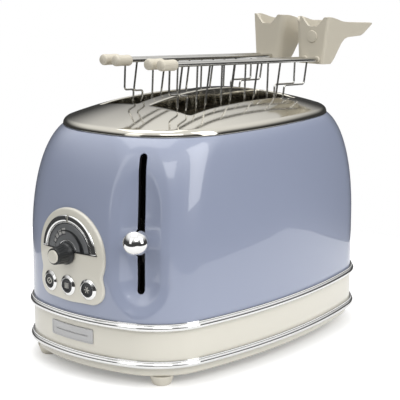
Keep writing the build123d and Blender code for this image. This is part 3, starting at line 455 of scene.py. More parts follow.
def bodyShell():
    slotHalf = leverSizes["slotHalf"]
    inner = slotHalf * np.sin(np.radians(np.linspace(-90, 90, 13)))
    outer = slotHalf + (leverSizes["span"] - slotHalf) * np.linspace(0, 1, 34)[1:] ** 1.1
    s = np.concatenate([-outer[::-1], inner, outer])
    lowEnd = leverSizes["slotLow"] + slotHalf
    highEnd = leverSizes["slotHigh"] - slotHalf
    rimHeight = bodySizes["rimHeight"]
    z = np.concatenate([np.linspace(bodySizes["upperRing"], 0.0585, 5), np.linspace(0.0600, lowEnd, 16),
                        np.linspace(lowEnd, highEnd, 86)[1:], np.linspace(highEnd, 0.1880, 11)[1:],
                        [0.1895, 0.1906, rimHeight - 0.0003, rimHeight - 0.0001, rimHeight, rimHeight]])
    out = np.concatenate([np.zeros(len(z) - 3), [-0.0003, -0.0009, -0.0070]])
    zz, ss = np.meshgrid(z, s, indexing="ij")
    # rows next to the slot's ends bend round them
    rise = np.sqrt(np.clip(slotHalf ** 2 - ss ** 2, 0, None))
    above = np.clip(1 - (zz - highEnd) / 0.0085, 0, 1) * (zz >= highEnd - 1e-7)
    below = np.clip(1 - (lowEnd - zz) / 0.0085, 0, 1) * (zz <= lowEnd + 1e-7)
    zz = zz + rise * above - rise * below
    oo = np.broadcast_to(out[:, None], zz.shape)
    strip = np.concatenate([cornerStrip(ss, zz, oo), zz[..., None]], -1)
    # the rest of the outline runs on from the strip's near edge round to its front edge
    shape = shapeAt(z[:, None], out[:, None])
    cx, cy = cornerCentre(shape)
    endX = shape[0] - shape[3]
    sideTurn = np.arctan2(cy - shape[1] + shape[2], cx)
    endTurn = np.arctan2(cy, cx - endX)
    cornerAside = (leverAxis[0] + cx) * leverAcross[0] + (leverAxis[1] + cy) * leverAcross[1] + s[-1]
    endAside = (leverAxis[0] + endX) * leverAcross[0] + leverAxis[1] * leverAcross[1] + s[0]
    begin = 3 + (leverTurn + np.arcsin(cornerAside / shape[4]) - endTurn) / (sideTurn - endTurn)
    finish = 10 + (leverTurn + np.arcsin(endAside / shape[3]) + endTurn) / (2 * endTurn)
    counts = (14, 40, 24, 26, 24, 40, 24, 16)
    stops = [begin[0, 0], 4, 5, 6, 7, 8, 9, 10, finish[0, 0]]
    nominal = np.concatenate([np.linspace(a, b, n, endpoint=False)
                              for a, b, n in zip(stops[:-1], stops[1:], counts)])[1:]
    share = (nominal - stops[0]) / (stops[-1] - stops[0])
    x, y = ovalPoints(shape, begin + (finish - begin) * share)
    rest = np.stack([x, y, np.broadcast_to(z[:, None], x.shape)], -1)
    grid = np.concatenate([strip, rest], 1)
    faces = roundFaces(grid)
    row, col = faces[:, 0] // grid.shape[1], faces[:, 0] % grid.shape[1]
    lowRow = np.searchsorted(z, lowEnd - 1e-7)
    highRow = np.searchsorted(z, highEnd - 1e-7)
    firstCol = len(outer)
    inSlot = (row >= lowRow) & (row < highRow) & (col >= firstCol) & (col < firstCol + len(inner) - 1)
    return addPiece("bodyShell", grid, faces[~inSlot], finishes["bodyEnamel"], "toaster", "body_shell",
                    solid=bodySizes["wall"])


def slotLining():
    # black guide behind the slot: a wall round it, and two lips that leave a slit for the lever's arm; its
    # near lightless black is also painted shade for the dark inside the slot
    low, high, half = leverSizes["slotLow"], leverSizes["slotHigh"], leverSizes["slotHalf"] + 0.0004
    turn = np.linspace(0, np.pi, 13)
    s = np.concatenate([half * np.cos(turn), -half * np.cos(turn)])
    z = np.concatenate([high - half + half * np.sin(turn), low + half - half * np.sin(turn)])
    inwards = np.array([0.0014, 0.0075, 0.0075, 0.0014])[:, None]
    wider = np.array([0.0, 0.0, 0.0012, 0.0012])[:, None]
    grow = np.stack([np.sign(s) * wider[:, 0][:, None], np.zeros((4, len(s)))])
    ss = s[None] + grow[0]
    zz = np.broadcast_to(z[None], ss.shape)
    flat = cornerStrip(np.broadcast_to(s, ss.shape), zz, np.zeros(ss.shape))
    points = flat - inwards[..., None] * leverOut + (ss - s)[..., None] * leverAcross
    wall = np.concatenate([points, zz[..., None]], -1)
    wall = np.concatenate([wall, wall[:1]])
    grids = [(wall, True)]
    for side in (-1, 1):
        zLip = np.linspace(low + 0.001, high - 0.001, 40)
        sLip = side * np.array([0.0022, 0.0022, 0.0034, 0.0034, 0.0022])
        depth = np.array([0.0030, 0.0040, 0.0040, 0.0030, 0.0030])
        ss, zz = np.meshgrid(sLip, zLip, indexing="xy")
        flat = cornerStrip(np.zeros(ss.shape), zz, np.zeros(ss.shape))
        points = flat - depth[None, :, None] * leverOut + ss[..., None] * leverAcross
        lip = np.concatenate([points, zz[..., None]], -1)
        ends = [np.broadcast_to(lip[i].mean(0), (1, 5, 3)) for i in (0, -1)]
        grids.append((np.concatenate([ends[0], lip, ends[1]]), False))
    addPiece("slotLining", *joinGrids(grids), finishes["slotShadeBlack"], "toaster")


def leverBall():
    # chrome ball with a short neck towards the slot
    radius = leverSizes["ballRadius"]
    profile = [(radius * np.cos(a), radius * np.sin(a)) for a in np.linspace(0, np.pi, 49)]
    centre = np.append(leverAxis + leverOut * leverSizes["ballReach"], leverSizes["restHeight"])
    grid = latheGrid(profile, centre, np.append(leverOut, 0))
    neck = latheGrid([(-0.0135, 0), (-0.0135, 0.0022), (-0.0085, 0.0028), (-0.0085, 0)], centre,
                     np.append(leverOut, 0), sides=32)
    addPiece("leverBall", *joinGrids([(grid, True), (neck, True)]), finishes["chrome"], "lever_group",
             "lever_ball")


bodyShell()
slotLining()
leverBall()
print("body shell, slot and lever ball made")

# Domed top plate
plateSizes = {
    "slotX": 0.001,
    "slotY": 0.02795,
    "halfLength": 0.0717,
    "halfWidth": 0.02125,
    "corner": 0.003,
    "lip": 0.0013,  # rounding of the sheet into the slot
    "collarBottom": 0.1881,
    "rimRound": 0.0036,
    "sheet": 0.0008,
    "edgeShare": 0.8,  # share of the rim band below the crown's foot
}


def domeHeight(x, y):
    # crown that falls with the square of the share of the way to the rim
    t = np.linspace(0, 8, 4001)[:-1]
    rimX, rimY = ovalPoints(bodySizes["rim"], t)
    angle = np.arctan2(rimY, rimX)
    order = np.argsort(angle)
    reach = np.interp(np.arctan2(y, x), angle[order], np.hypot(rimX, rimY)[order], period=2 * np.pi)
    share = np.hypot(x, y) / reach
    bandShare = plateSizes["edgeShare"]
    edge = bodySizes["rimHeight"] + bandShare * bodySizes["rimBand"]
    rise = (1 - bandShare) * bodySizes["rimBand"] + bodySizes["crown"]
    return edge + rise * (1 - np.clip(share, 0, 1) ** 2)


def slotLoop(out):
    # the far slot's edge as a rounded rectangle, in stretches from its inner right corner on
    halfX, halfY = plateSizes["halfLength"] + out, plateSizes["halfWidth"] + out
    radius = plateSizes["corner"] + out
    arc = np.linspace(0, np.pi / 2, 7)[1:-1]

    def corner(signX, signY, start):
        turn = start + arc
        return np.stack([signX * (halfX - radius) + radius * np.cos(turn),
                         signY * (halfY - radius) + radius * np.sin(turn)], -1)

    def straight(a, b, count):
        return np.linspace(a, b, count)

    outerPart = np.concatenate([
        straight((halfX, radius - halfY), (halfX, halfY - radius), 13), corner(1, 1, 0),
        straight((halfX - radius, halfY), (radius - halfX, halfY), 41), corner(-1, 1, np.pi / 2),
        straight((-halfX, halfY - radius), (-halfX, radius - halfY), 13)])
    innerPart = np.concatenate([
        corner(-1, -1, np.pi), straight((radius - halfX, -halfY), (halfX - radius, -halfY), 41),
        corner(1, -1, 1.5 * np.pi)])
    shift = np.array([plateSizes["slotX"], plateSizes["slotY"]])
    return outerPart + shift, innerPart + shift


def topPlate():
    lip = plateSizes["lip"]
    farOuter, farInner = slotLoop(lip)
    mirror = np.array([1, -1])
    nearOuter = (farOuter * mirror)[::-1]
    bridge = np.linspace(0, 1, 9)[1:-1, None]
    left = farOuter[-1] + (nearOuter[0] - farOuter[-1]) * bridge
    right = nearOuter[-1] + (farOuter[0] - nearOuter[-1]) * bridge
    inner = np.concatenate([farOuter, left, nearOuter, right])
    t = np.linspace(0, 8, 8001)[:-1]
    rimX, rimY = ovalPoints(bodySizes["rim"], t)
    rimAngle = np.arctan2(rimY, rimX)
    order = np.argsort(rimAngle)
    angle = np.arctan2(inner[:, 1], inner[:, 0])
    reach = np.interp(angle, rimAngle[order], np.hypot(rimX, rimY)[order], period=2 * np.pi)
    outer = np.stack([reach * np.cos(angle), reach * np.sin(angle)], -1)
    span = np.linalg.norm(outer - inner, axis=1)[None]
    # shares of the way out, then fixed distances from the rim where the sheet rolls over
    roll = np.array([0.0046, 0.0036, 0.0029, 0.0022, 0.0016, 0.0011, 0.0007, 0.00035, 0.0001, 0.0])[:, None]
    ways = np.linspace(0, 1, 15)[:-1, None] * (1 - 0.0056 / span)
    fraction = np.concatenate([ways, 1 - roll / span])
    ring = inner[None] + (outer - inner)[None] * fraction[..., None]
    fromRim = (1 - fraction) * span
    radius = plateSizes["rimRound"]
    drop = radius - np.sqrt(np.clip(radius ** 2 - np.clip(radius - fromRim, 0, None) ** 2, 0, None))
    height = domeHeight(ring[..., 0], ring[..., 1]) - drop
    surface = np.concatenate([ring, height[..., None]], -1)
    low = bodySizes["rimHeight"]
    hem = [(0.0, low + 0.0007), (-0.0002, low + 0.0003), (-0.0007, low + 0.0001), (-0.0016, low + 0.0001)]
    direction = (outer - inner) / span.T
    under = np.stack([np.concatenate([outer + direction * out, np.full((len(outer), 1), z)], -1)
                      for out, z in hem])
    surface = np.concatenate([surface, under])
    # strip of sheet between the slots
    edge = np.concatenate([farOuter[-1:], farInner, farOuter[:1]])
    across = np.linspace(0, 1, 9)[:, None, None]
    strip = edge[None] * (1 - across) + (edge * mirror)[None] * across
    middle = np.concatenate([strip, domeHeight(strip[..., 0], strip[..., 1])[..., None]], -1)
    grids = [(surface, True), (middle, False)]
    # collars round the slots
    turn = np.radians(np.linspace(0, 90, 7))
    steps = [(lip * (1 - np.sin(a)), -lip * (1 - np.cos(a))) for a in turn]
    for side in (1, -1):
        loops = []
        for out, down in steps:
            loop = np.concatenate(slotLoop(out))
            base = np.concatenate(slotLoop(lip))
            loops.append(np.concatenate([loop, (domeHeight(base[:, 0], base[:, 1]) + down)[:, None]], -1))
        last = loops[-1].copy()
        last[:, 2] = plateSizes["collarBottom"]
        middleRow = (loops[-1] + last) / 2
        grid = np.stack(loops + [middleRow, last])
        grid[..., 1] *= side
        grids.append((grid, True))
    addPiece("topPlate", *joinGrids(grids), finishes["plateSteel"], "toaster", "top_plate",
             solid=plateSizes["sheet"], sharp=50)


topPlate()
print("top plate made")

# Base: band, beads, skirt, feet
baseSizes = {
    "ringRadius": 0.0032,
    "beadStep": 0.0014,  # height of the thin step above each bead
    "bandWall": 0.0016,
    "skirtWall": 0.0022,
    "skirtRound": 0.0030,
    "trayHalf": 0.0346,
    "trayLow": 0.0109,
    "trayHigh": 0.0157,
    "footTop": 0.0100,
    "footBottom": 0.0068,
    "gland": (0.1487, -0.030, 0.038),
    "footPlaces": {"front_near_foot": (-0.121, -0.062), "front_far_foot": (-0.121, 0.062),
                   "rear_near_foot": (0.104, -0.062), "rear_far_foot": (0.104, 0.062)},
}


def baseBand():
    wall, low, high = baseSizes["bandWall"], bodySizes["lowerRing"], bodySizes["upperRing"]
    profile = roundedPath([(0, low), (0, high), (-wall, high), (-wall, low)], 0.0002, 3, closed=True)
    grid = bandGrid(profile)
    grid = np.concatenate([grid, grid[:1]])
    addPiece("baseBand", grid, roundFaces(grid), finishes["cream"], "toaster", "base_band")


def trimRing(name, height, node):
    # bead with a thin step along its upper edge, closed at the back
    r, step = baseSizes["ringRadius"], baseSizes["beadStep"]
    middle = -step / 2
    main = np.radians(np.linspace(-90, 66, 21))
    bead = [(0.25 * r + 0.75 * r * np.cos(a), middle + (r - step / 2) * np.sin(a)) for a in main]
    bead = [(0.0001, bead[0][1])] + bead
    top = [(bead[-1][0] * 0.80, bead[-1][1] + 0.0001), (bead[-1][0] * 0.95, r - step * 0.45),
           (bead[-1][0] * 0.85, r - 0.0001), (bead[-1][0] * 0.5, r), (0.0001, r)]
    profile = np.array(bead + top) + (0, height)
    grid = bandGrid(profile)
    grid = np.concatenate([grid, grid[:1]])
    addPiece(name, grid, roundFaces(grid), finishes["chrome"], "toaster", node)


def basePan():
    # skirt and floor in one sheet, with the tray's window left open at the back
    inset, low, high = bodySizes["skirtInset"], bodySizes["skirtBottom"], bodySizes["lowerRing"]
    trayLow, trayHigh = baseSizes["trayLow"], baseSizes["trayHigh"]
    r = baseSizes["skirtRound"]
    turn = np.radians(np.linspace(0, 90, 8))
    rounding = [(-inset - r + r * np.cos(a), low + r - r * np.sin(a)) for a in turn]
    profile = [(-inset, high + 0.002), (-inset, trayHigh), (-inset, (trayLow + trayHigh) / 2), *rounding]
    shape = [size - inset for size in bodySizes["outline"]]
    cx, cy = cornerCentre(shape)
    endTurn = np.arctan2(cy, cx - shape[0] + shape[3])
    edge = np.arcsin(baseSizes["trayHalf"] / shape[3])
    stops = 6 + (np.array([-edge, edge]) + endTurn) / (2 * endTurn)
    t = np.sort(np.concatenate([aroundT[(aroundT < 6) | (aroundT > 7)], np.linspace(6, stops[0], 6),
                                np.linspace(stops[0], stops[1], 20)[1:], np.linspace(stops[1], 7, 6)[1:]]))
    grid = bandGrid(profile, t=t)
    floor = np.stack([grid[-1] * (s, s, 1) for s in (0.96, 0.8, 0.5, 0.2, 0.0)])
    grid = np.concatenate([grid, floor])
    faces = roundFaces(grid)
    row, col = faces[:, 0] // len(t), faces[:, 0] % len(t)
    window = (row >= 1) & (row < 4) & (t[col] >= stops[0] - 1e-9) & (t[col] < stops[1] - 1e-9)
    addPiece("basePan", grid, faces[~window], finishes["cream"], "toaster", "base_pan",
             solid=baseSizes["skirtWall"])


def feet():
    top, low = baseSizes["footTop"], baseSizes["footBottom"]
    z = bodySizes["skirtBottom"]
    outline = roundedPath([(0.0012, 0), (0.0012, 0.0033), (0, 0.0033), (0, low), (0.0012, low + 0.0008),
                           (z - 0.0020, top - 0.0006), (z, top), (z, 0)],
                          [0, 0.0002, 0.0003, 0.0006, 0.0012, 0.003, 0, 0], 5)
    for node, (x, y) in baseSizes["footPlaces"].items():
        grid = latheGrid(outline, (x, y, 0), (0, 0, 1), up=(0, 1, 0), sides=56)
        name = "".join(word.capitalize() if i else word for i, word in enumerate(node.split("_")))
        addPiece(name, grid, roundFaces(grid), finishes["footCream"], "toaster", node)


def cordGland():
    # ribbed strain relief at the back
    origin = Vector(baseSizes["gland"])
    y = abs(origin.y) - 0.0072
    base = np.sqrt(bodySizes["outline"][3] ** 2 - y ** 2) - bodySizes["outline"][3] + bodySizes["outline"][0]
    ribs = [(0.0020 + 0.0024 * i + a, 0.0050 - 0.00031 * i - b) for i in range(5)
            for a, b in ((0, 0), (0.0013, 0.0001), (0.0015, 0.0011), (0.0022, 0.0012))]
    profile = [(-0.008, 0.003), (-0.008, 0.005), (0, 0.005), (0, 0.0072), (0.0016, 0.0072),
               (0.0020, 0.0066), *ribs,
               (0.0140, 0.0036), (0.0140, 0.003), (-0.008, 0.003)]
    grid = latheGrid(profile, (base + 0.00005, origin.y, origin.z), (1, 0, 0), sides=40)
    addPiece("cordGland", grid, roundFaces(grid), finishes["black"], "toaster", "cord_gland")


baseBand()
trimRing("upperTrimRing", bodySizes["upperRing"], "upper_trim_ring")
trimRing("lowerTrimRing", bodySizes["lowerRing"], "lower_trim_ring")
basePan()
feet()
cordGland()
print("base made")

# Control panel on the front end
panelSizes = {
    "y": 0.0075,
    "lobeHeight": 0.099,
    "lobeRadius": 0.0365,
    "footHeight": 0.074,
    "footHalfWidth": 0.0355,
    "footHalfHeight": 0.0125,
    "footCorner": 0.012,
    "neck": 0.0045,
    "rayHeight": 0.091,  # where the bezel's rays start
    "rayReach": 0.06,
    "buttonHole": 0.0067,
    "shaftHole": 0.0042,
    "thickness": 0.0026,
    "edgeRound": 0.0015,
    "dialHeight": 0.1000,
    "dialRise": 0.0024,  # the half ring stands on a line this far above the dial's axis
    "arcOuter": 0.0303,
    "arcInner": 0.0240,
    "arcProud": 0.0014,
    "notchHalf": 0.0011,
    "knobRadius": 0.0088,
    "knobTip": 0.0066,
    "knobLength": 0.0146,
    "capRadius": 0.0052,
    "buttonSpacing": 0.0215,
    "buttonHeight": 0.0740,
    "buttonRadius": 0.0053,
    "buttonProud": 0.0018,
    "buttonLength": 0.014,
    "ringRadius": 0.0080,
}
buttonPlaces = [(panelSizes["y"] + i * panelSizes["buttonSpacing"], panelSizes["buttonHeight"])
                for i in (-1, 0, 1)]


def panelDistance(u, v):
    # signed distance to the panel's outline, a disc and a rounded bar joined softly; u across, v up
    disc = np.hypot(u, v - panelSizes["lobeHeight"]) - panelSizes["lobeRadius"]
    r = panelSizes["footCorner"]
    qx = np.abs(u) - panelSizes["footHalfWidth"] + r
    qy = np.abs(v - panelSizes["footHeight"]) - panelSizes["footHalfHeight"] + r
    bar = np.hypot(np.clip(qx, 0, None), np.clip(qy, 0, None)) + np.clip(np.maximum(qx, qy), None, 0) - r
    blend = np.clip(0.5 + 0.5 * (bar - disc) / panelSizes["neck"], 0, 1)
    return bar + (disc - bar) * blend - panelSizes["neck"] * blend * (1 - blend)


def controlBezel():
    # rays from the panel's middle to its outline, found by halving; the edge rolls down to the body
    turn = np.linspace(0, 2 * np.pi, 320, endpoint=False)
    rayFrom = panelSizes["rayHeight"]
    near, far = np.zeros(len(turn)), np.full(len(turn), panelSizes["rayReach"])
    for _ in range(30):
        reach = (near + far) / 2
        inside = panelDistance(reach * np.cos(turn), rayFrom + reach * np.sin(turn)) < 0
        near, far = np.where(inside, reach, near), np.where(inside, far, reach)
    fromEdge = np.concatenate([np.linspace(1, 0.12, 50),
                               [0.10, 0.08, 0.06, 0.045, 0.03, 0.02, 0.012, 0.005, 0.0]])
    reach = near[None] * (1 - fromEdge[:, None])
    u = reach * np.cos(turn)
    v = rayFrom + reach * np.sin(turn)
    inward = np.clip(-panelDistance(u, v), 0, None)
    r = panelSizes["edgeRound"]
    fromRound = np.clip(r - inward, 0, None)
    raised = panelSizes["thickness"] - r + np.sqrt(np.clip(r ** 2 - fromRound ** 2, 0, None))
    grid = frontPoints(u + panelSizes["y"], v, raised)
    side = np.stack([frontPoints(u[-1] + panelSizes["y"], v[-1], h) for h in (0.0006, 0.00005)])
    grid = np.concatenate([grid, side])
    faces = roundFaces(grid)
    centre = grid.reshape(-1, 3)[faces].mean(1)
    hole = np.zeros(len(faces), bool)
    for y, z in buttonPlaces:
        hole |= np.hypot(centre[:, 1] - y, centre[:, 2] - z) < panelSizes["buttonHole"]
    fromShaft = np.hypot(centre[:, 1] - panelSizes["y"], centre[:, 2] - panelSizes["dialHeight"])
    hole |= fromShaft < panelSizes["shaftHole"]
    addPiece("controlBezel", grid, faces[~hole], finishes["cream"], "toaster", "control_bezel", solid=0.0001)


def dialPatch(begin, end, inner, outer, heights, count=37):
    # patch of a ring about the dial's axis between two angles, from the right over the top, cut off
    # along the dial's straight side; heights run from the inner edge to the outer one
    way = np.linspace(begin, end, count)[None]
    share = np.linspace(0, 1, len(heights))[:, None]
    radius = inner + (outer - inner) * share + 0 * way
    low = np.arcsin(panelSizes["dialRise"] / radius)
    angle = np.clip(np.radians(way), low, np.pi - low)
    u = -radius * np.cos(angle)
    v = panelSizes["dialHeight"] + radius * np.sin(angle)
    return frontPoints(panelSizes["y"] + u, v, np.broadcast_to(np.asarray(heights)[:, None], u.shape)), False


def beadHeights(base, proud, count=17):
    # half round section: height over the base at even steps across
    x = np.linspace(-1, 1, count)
    return base + proud * np.sqrt(np.clip(1 - x ** 4, 0, 1))


def dialArc():
    # two stretches of a domed ring on each side of the notch, with a thin lip inside them
    thick, proud = panelSizes["thickness"], panelSizes["arcProud"]
    inner, outer = panelSizes["arcInner"], panelSizes["arcOuter"]
    gap = np.degrees(panelSizes["notchHalf"] / outer)
    grids = []
    for begin, end in ((0, 90 - gap), (90 + gap, 180)):
        grids.append(dialPatch(begin, end, inner + 0.0009, outer, beadHeights(thick + 0.00005, proud), 61))
        grids.append(dialPatch(begin, end, inner, inner + 0.0008,
                               beadHeights(thick + 0.00005, proud * 0.55, 9), 61))
    addPiece("dialArc", *joinGrids(grids), finishes["chrome"], "toaster", "dial_arc", solid=0.00005)


def dialScale():
    # grey half disc, dark wedge that grows to the right, pale blocks at upper left, a thin black ring of
    # painted shadow just inside the half ring and a thin bright arc
    low = panelSizes["thickness"] + 0.0003
    inner = panelSizes["arcInner"]
    plate = dialPatch(0, 180, 0.0056, inner - 0.00005, [low] * 8, 73)
    addPiece("dialScale", *joinGrids([plate]), finishes["scaleGrey"], "toaster", "dial_scale", solid=0.0002)
    mark = low + 0.00012
    way = np.linspace(0, 1, 61)[None]
    darkPrintAndShadow = [dialPatch(0, 122, 0.0184 - 0.0040 * (1 - way) ** 0.8 - 0.0003, 0.0184, [mark] * 4, 61),
            dialPatch(96, 178, 0.0145, 0.0148, [mark] * 2, 61),
            # painted shadow: this thin black ring just inside the half ring stands in for the shade in the
            # groove under its inner edge
            dialPatch(0, 180, inner - 0.0009, inner - 0.0002, [mark] * 2, 61)]
    pale = []
    for i, (begin, outer) in enumerate(((98, 0.0198), (114, 0.0192), (130, 0.0184), (145, 0.0175))):
        pale.append(dialPatch(begin, begin + 12 - i, 0.0155, outer, [mark] * 3, 9))
        darkPrintAndShadow.append(dialPatch(begin + 13 - i, begin + 15 - i, 0.0148, outer + 0.0006, [mark] * 3, 5))
    # the wedge, the thin arc and the block dividers are print; the ring inside the half ring is painted
    # shadow
    addPiece("scaleDarkPrintAndShadow", *joinGrids(darkPrintAndShadow), finishes["black"], "toaster", solid=0.00005)
    addPiece("scalePale", *joinGrids(pale), finishes["scalePale"], "toaster", solid=0.00005)
    rim = dialPatch(0, 180, 0.0098, 0.0108, beadHeights(low, 0.0004, 9), 61)
    addPiece("scaleRims", *joinGrids([rim]), finishes["chrome"], "toaster", solid=0.00005)
    # dark bar along the dial's straight side
    base = panelSizes["dialHeight"] + panelSizes["dialRise"]
    y = np.linspace(-panelSizes["arcOuter"] - 0.0003, panelSizes["arcOuter"] + 0.0003, 41)
    rows = [(0.0001, 0.00005), (0.0001, 0.0006), (-0.0009, 0.0006), (-0.0009, 0.00005)]
    bar = np.stack([frontPoints(panelSizes["y"] + y, np.full(len(y), base + v), panelSizes["thickness"] + h)
                    for v, h in rows])
    addPiece("scaleBar", *joinGrids([(bar, False)]), finishes["black"], "toaster", solid=0.00005)


def browningKnob():
    # barrel with a wide foot, a soft waist and shallow flutes, and the shaft behind it
    thick = panelSizes["thickness"]
    back = frontX(0, panelSizes["dialHeight"], thick + 0.0005) - 0.0003
    radius, tip, length = panelSizes["knobRadius"], panelSizes["knobTip"], panelSizes["knobLength"]
    outline = roundedPath([(0, 0), (0, radius), (0.0022, radius), (0.0034, radius - 0.0009),
                           (0.0052, tip + 0.0009),
                           (length - 0.0004, tip), (length, tip - 0.0005), (length, 0)],
                          [0, 0.0004, 0.0010, 0.0008, 0.0010, 0.0004, 0.0003, 0], 5)
    dense = [outline[0]]
    for a, b in zip(outline[:-1], outline[1:]):
        count = max(1, int(np.linalg.norm(b - a) / 0.0012))
        dense += [a + (b - a) * k / count for k in range(1, count + 1)]
    dense = np.array(dense)
    grid = latheGrid(dense, (back, panelSizes["y"], panelSizes["dialHeight"]), (-1, 0, 0), sides=144)
    turn = np.linspace(0, 2 * np.pi, 144, endpoint=False)
    flute = 0.00035 * np.abs(np.cos(9 * turn)) ** 6
    fromFoot = np.clip((dense[:, 0] - 0.0052) / 0.002, 0, 1)
    toEnd = np.clip((length - 0.0015 - dense[:, 0]) / 0.002, 0, 1)
    onBarrel = fromFoot * toEnd
    middle = np.array([0, panelSizes["y"], panelSizes["dialHeight"]])
    aside = grid - middle
    aside[..., 0] = 0
    unit = aside / np.maximum(np.linalg.norm(aside, axis=-1), 1e-9)[..., None]
    grid = grid - unit * (onBarrel[:, None] * flute[None])[..., None]
    shaft = latheGrid([(-0.0165, 0), (-0.0165, 0.003), (0, 0.003), (0, 0)],
                      (back, panelSizes["y"], panelSizes["dialHeight"]), (-1, 0, 0), sides=32)
    addPiece("browningKnob", *joinGrids([(grid, True), (shaft, True)]), finishes["black"], "browning_group",
             "browning_knob")
    cap = panelSizes["capRadius"]
    profile = roundedPath([(length, 0), (length, cap), (length + 0.0009, cap),
                           (length + 0.00125, cap - 0.0010),
                           (length + 0.00125, 0)], [0, 0, 0.0004, 0.0006, 0], 5)
    grid = latheGrid(profile, (back, panelSizes["y"], panelSizes["dialHeight"]), (-1, 0, 0), sides=72)
    addPiece("knobCap", grid, roundFaces(grid), finishes["cream"],
             "browning_group",
             "knob_cap")


def frontLathe(y, z, profile, sides=64):
    # profile of (height above the surface, radius) turned about a place on the front end, following its curve
    height, radius = np.asarray(profile, float).T
    turn = np.linspace(0, 2 * np.pi, sides, endpoint=False)[None]
    yy = y + radius[:, None] * np.cos(turn)
    zz = z + radius[:, None] * np.sin(turn)
    return frontPoints(yy, zz, np.broadcast_to(height[:, None], yy.shape))


def buttonMarks(kind):
    # plain pale marks for the button faces, as patches of (across, up) in millimetres
    def bar(x0, y0, x1, y1, width):
        way = np.array([[x0, y0], [x1, y1]], float)
        along = (way[1] - way[0]) / np.linalg.norm(way[1] - way[0])
        aside = np.array([-along[1], along[0]]) * width / 2
        return np.stack([way + aside, way - aside])

    def ring(radius, width, begin=0.0, end=360.0):
        turn = np.radians(np.linspace(begin, end, 33))
        return np.stack([np.stack([r * np.cos(turn), r * np.sin(turn)], -1)
                         for r in (radius - width / 2, radius + width / 2)])

    if kind == "cancel":
        return [ring(2.2, 0.7), bar(-1.5, -1.5, 1.5, 1.5, 0.6)]
    if kind == "reheat":
        return [bar(x, -2.2, x, 2.2, 0.75) for x in (-1.5, 0.0, 1.5)]
    return [bar(-2.7 * np.cos(a), -2.7 * np.sin(a), 2.7 * np.cos(a), 2.7 * np.sin(a), 0.6)
            for a in np.radians([0, 60, 120])]


def buttons():
    # each button has a dished face; its ring is a low cone with a rounded foot and lip
    thick, proud, r = panelSizes["thickness"], panelSizes["buttonProud"], panelSizes["buttonRadius"]
    rings = []
    for (y, z), key in zip(buttonPlaces, ("defrost", "reheat", "cancel")):
        ring = roundedPath([(0.00005, 0.0082), (0.0006, 0.0082), (0.0009, 0.0077), (0.0018, 0.0063),
                            (0.0019, 0.00575), (-0.0022, 0.00568)],
                           [0, 0.0003, 0.0003, 0.0004, 0.0002, 0], 4)
        rings.append((frontLathe(y, z, ring + (thick, 0)), True))
        face = frontX(y, z, thick + proud)
        length = panelSizes["buttonLength"]
        profile = roundedPath([(0.00035, 0), (0.00025, r * 0.6), (0, r * 0.9), (0.0004, r), (length, r),
                               (length, 0)],
                              [0, 0.004, 0.0005, 0.0004, 0.0002, 0], 5)
        grid = latheGrid(profile, (face, y, z), (1, 0, 0), sides=64)
        addPiece(f"{key}Button", grid, roundFaces(grid), finishes["buttonBlack"],
                 f"{key}_group", f"{key}_button")
        marks = []
        for patch in buttonMarks(key):
            flat = np.asarray(patch) / 1000
            x = np.full(flat.shape[:2], face + 0.00012)
            points = np.stack([x, y - flat[..., 0], z + flat[..., 1]], -1)
            marks.append((points, False))
        addPiece(f"{key}Mark", *joinGrids(marks), finishes["markPale"], f"{key}_group", solid=0.0002)
    addPiece("buttonRings", *joinGrids(rings), finishes["chrome"], "toaster", "button_rings", solid=0.0001)


def namePlate():
    # blank plate: nested rounded rectangles from its edge to its middle, raised border and sunk field
    half = (0.0235, 0.0060)
    steps = [(0.0, 0.00005), (0.0, 0.0006), (0.0002, 0.0009), (0.0006, 0.0010), (0.0010, 0.0009),
             (0.0013, 0.0005),
             (0.0020, 0.00045), (0.0035, 0.00045), (0.0050, 0.00045), (0.00595, 0.00045)]
    rows = []
    for inset, height in steps:
        a, b = half[0] - inset, half[1] - inset
        corner = max(0.0012 - inset * 0.2, 0.00002)
        corner = min(corner, b * 0.9)
        loop = roundedPath([(a, b), (-a, b), (-a, -b), (a, -b)], corner, 6, closed=True)
        rows.append((loop, height))
    grid = []
    for loop, height in rows:
        dense = []
        for i in range(len(loop)):
            a, b = loop[i], loop[(i + 1) % len(loop)]
            count = 16 if i % 7 == 6 else 1
            dense += [a + (b - a) * k / count for k in range(count)]
        dense = np.array(dense)
        outline = bodySizes["outline"]
        y = panelSizes["y"] + dense[:, 0]
        z = 0.0354 + dense[:, 1]
        x = outline[3] - outline[0] - np.sqrt((outline[3] + height) ** 2 - y ** 2)
        grid.append(np.stack([x, y, z], -1))
    grid = np.stack(grid)
    addPiece("namePlate", grid, roundFaces(grid), finishes["labelSilver"],
             "toaster",
             "name_plate", solid=0.00003)


controlBezel()
dialArc()
dialScale()
browningKnob()
buttons()
namePlate()
print("control panel made")

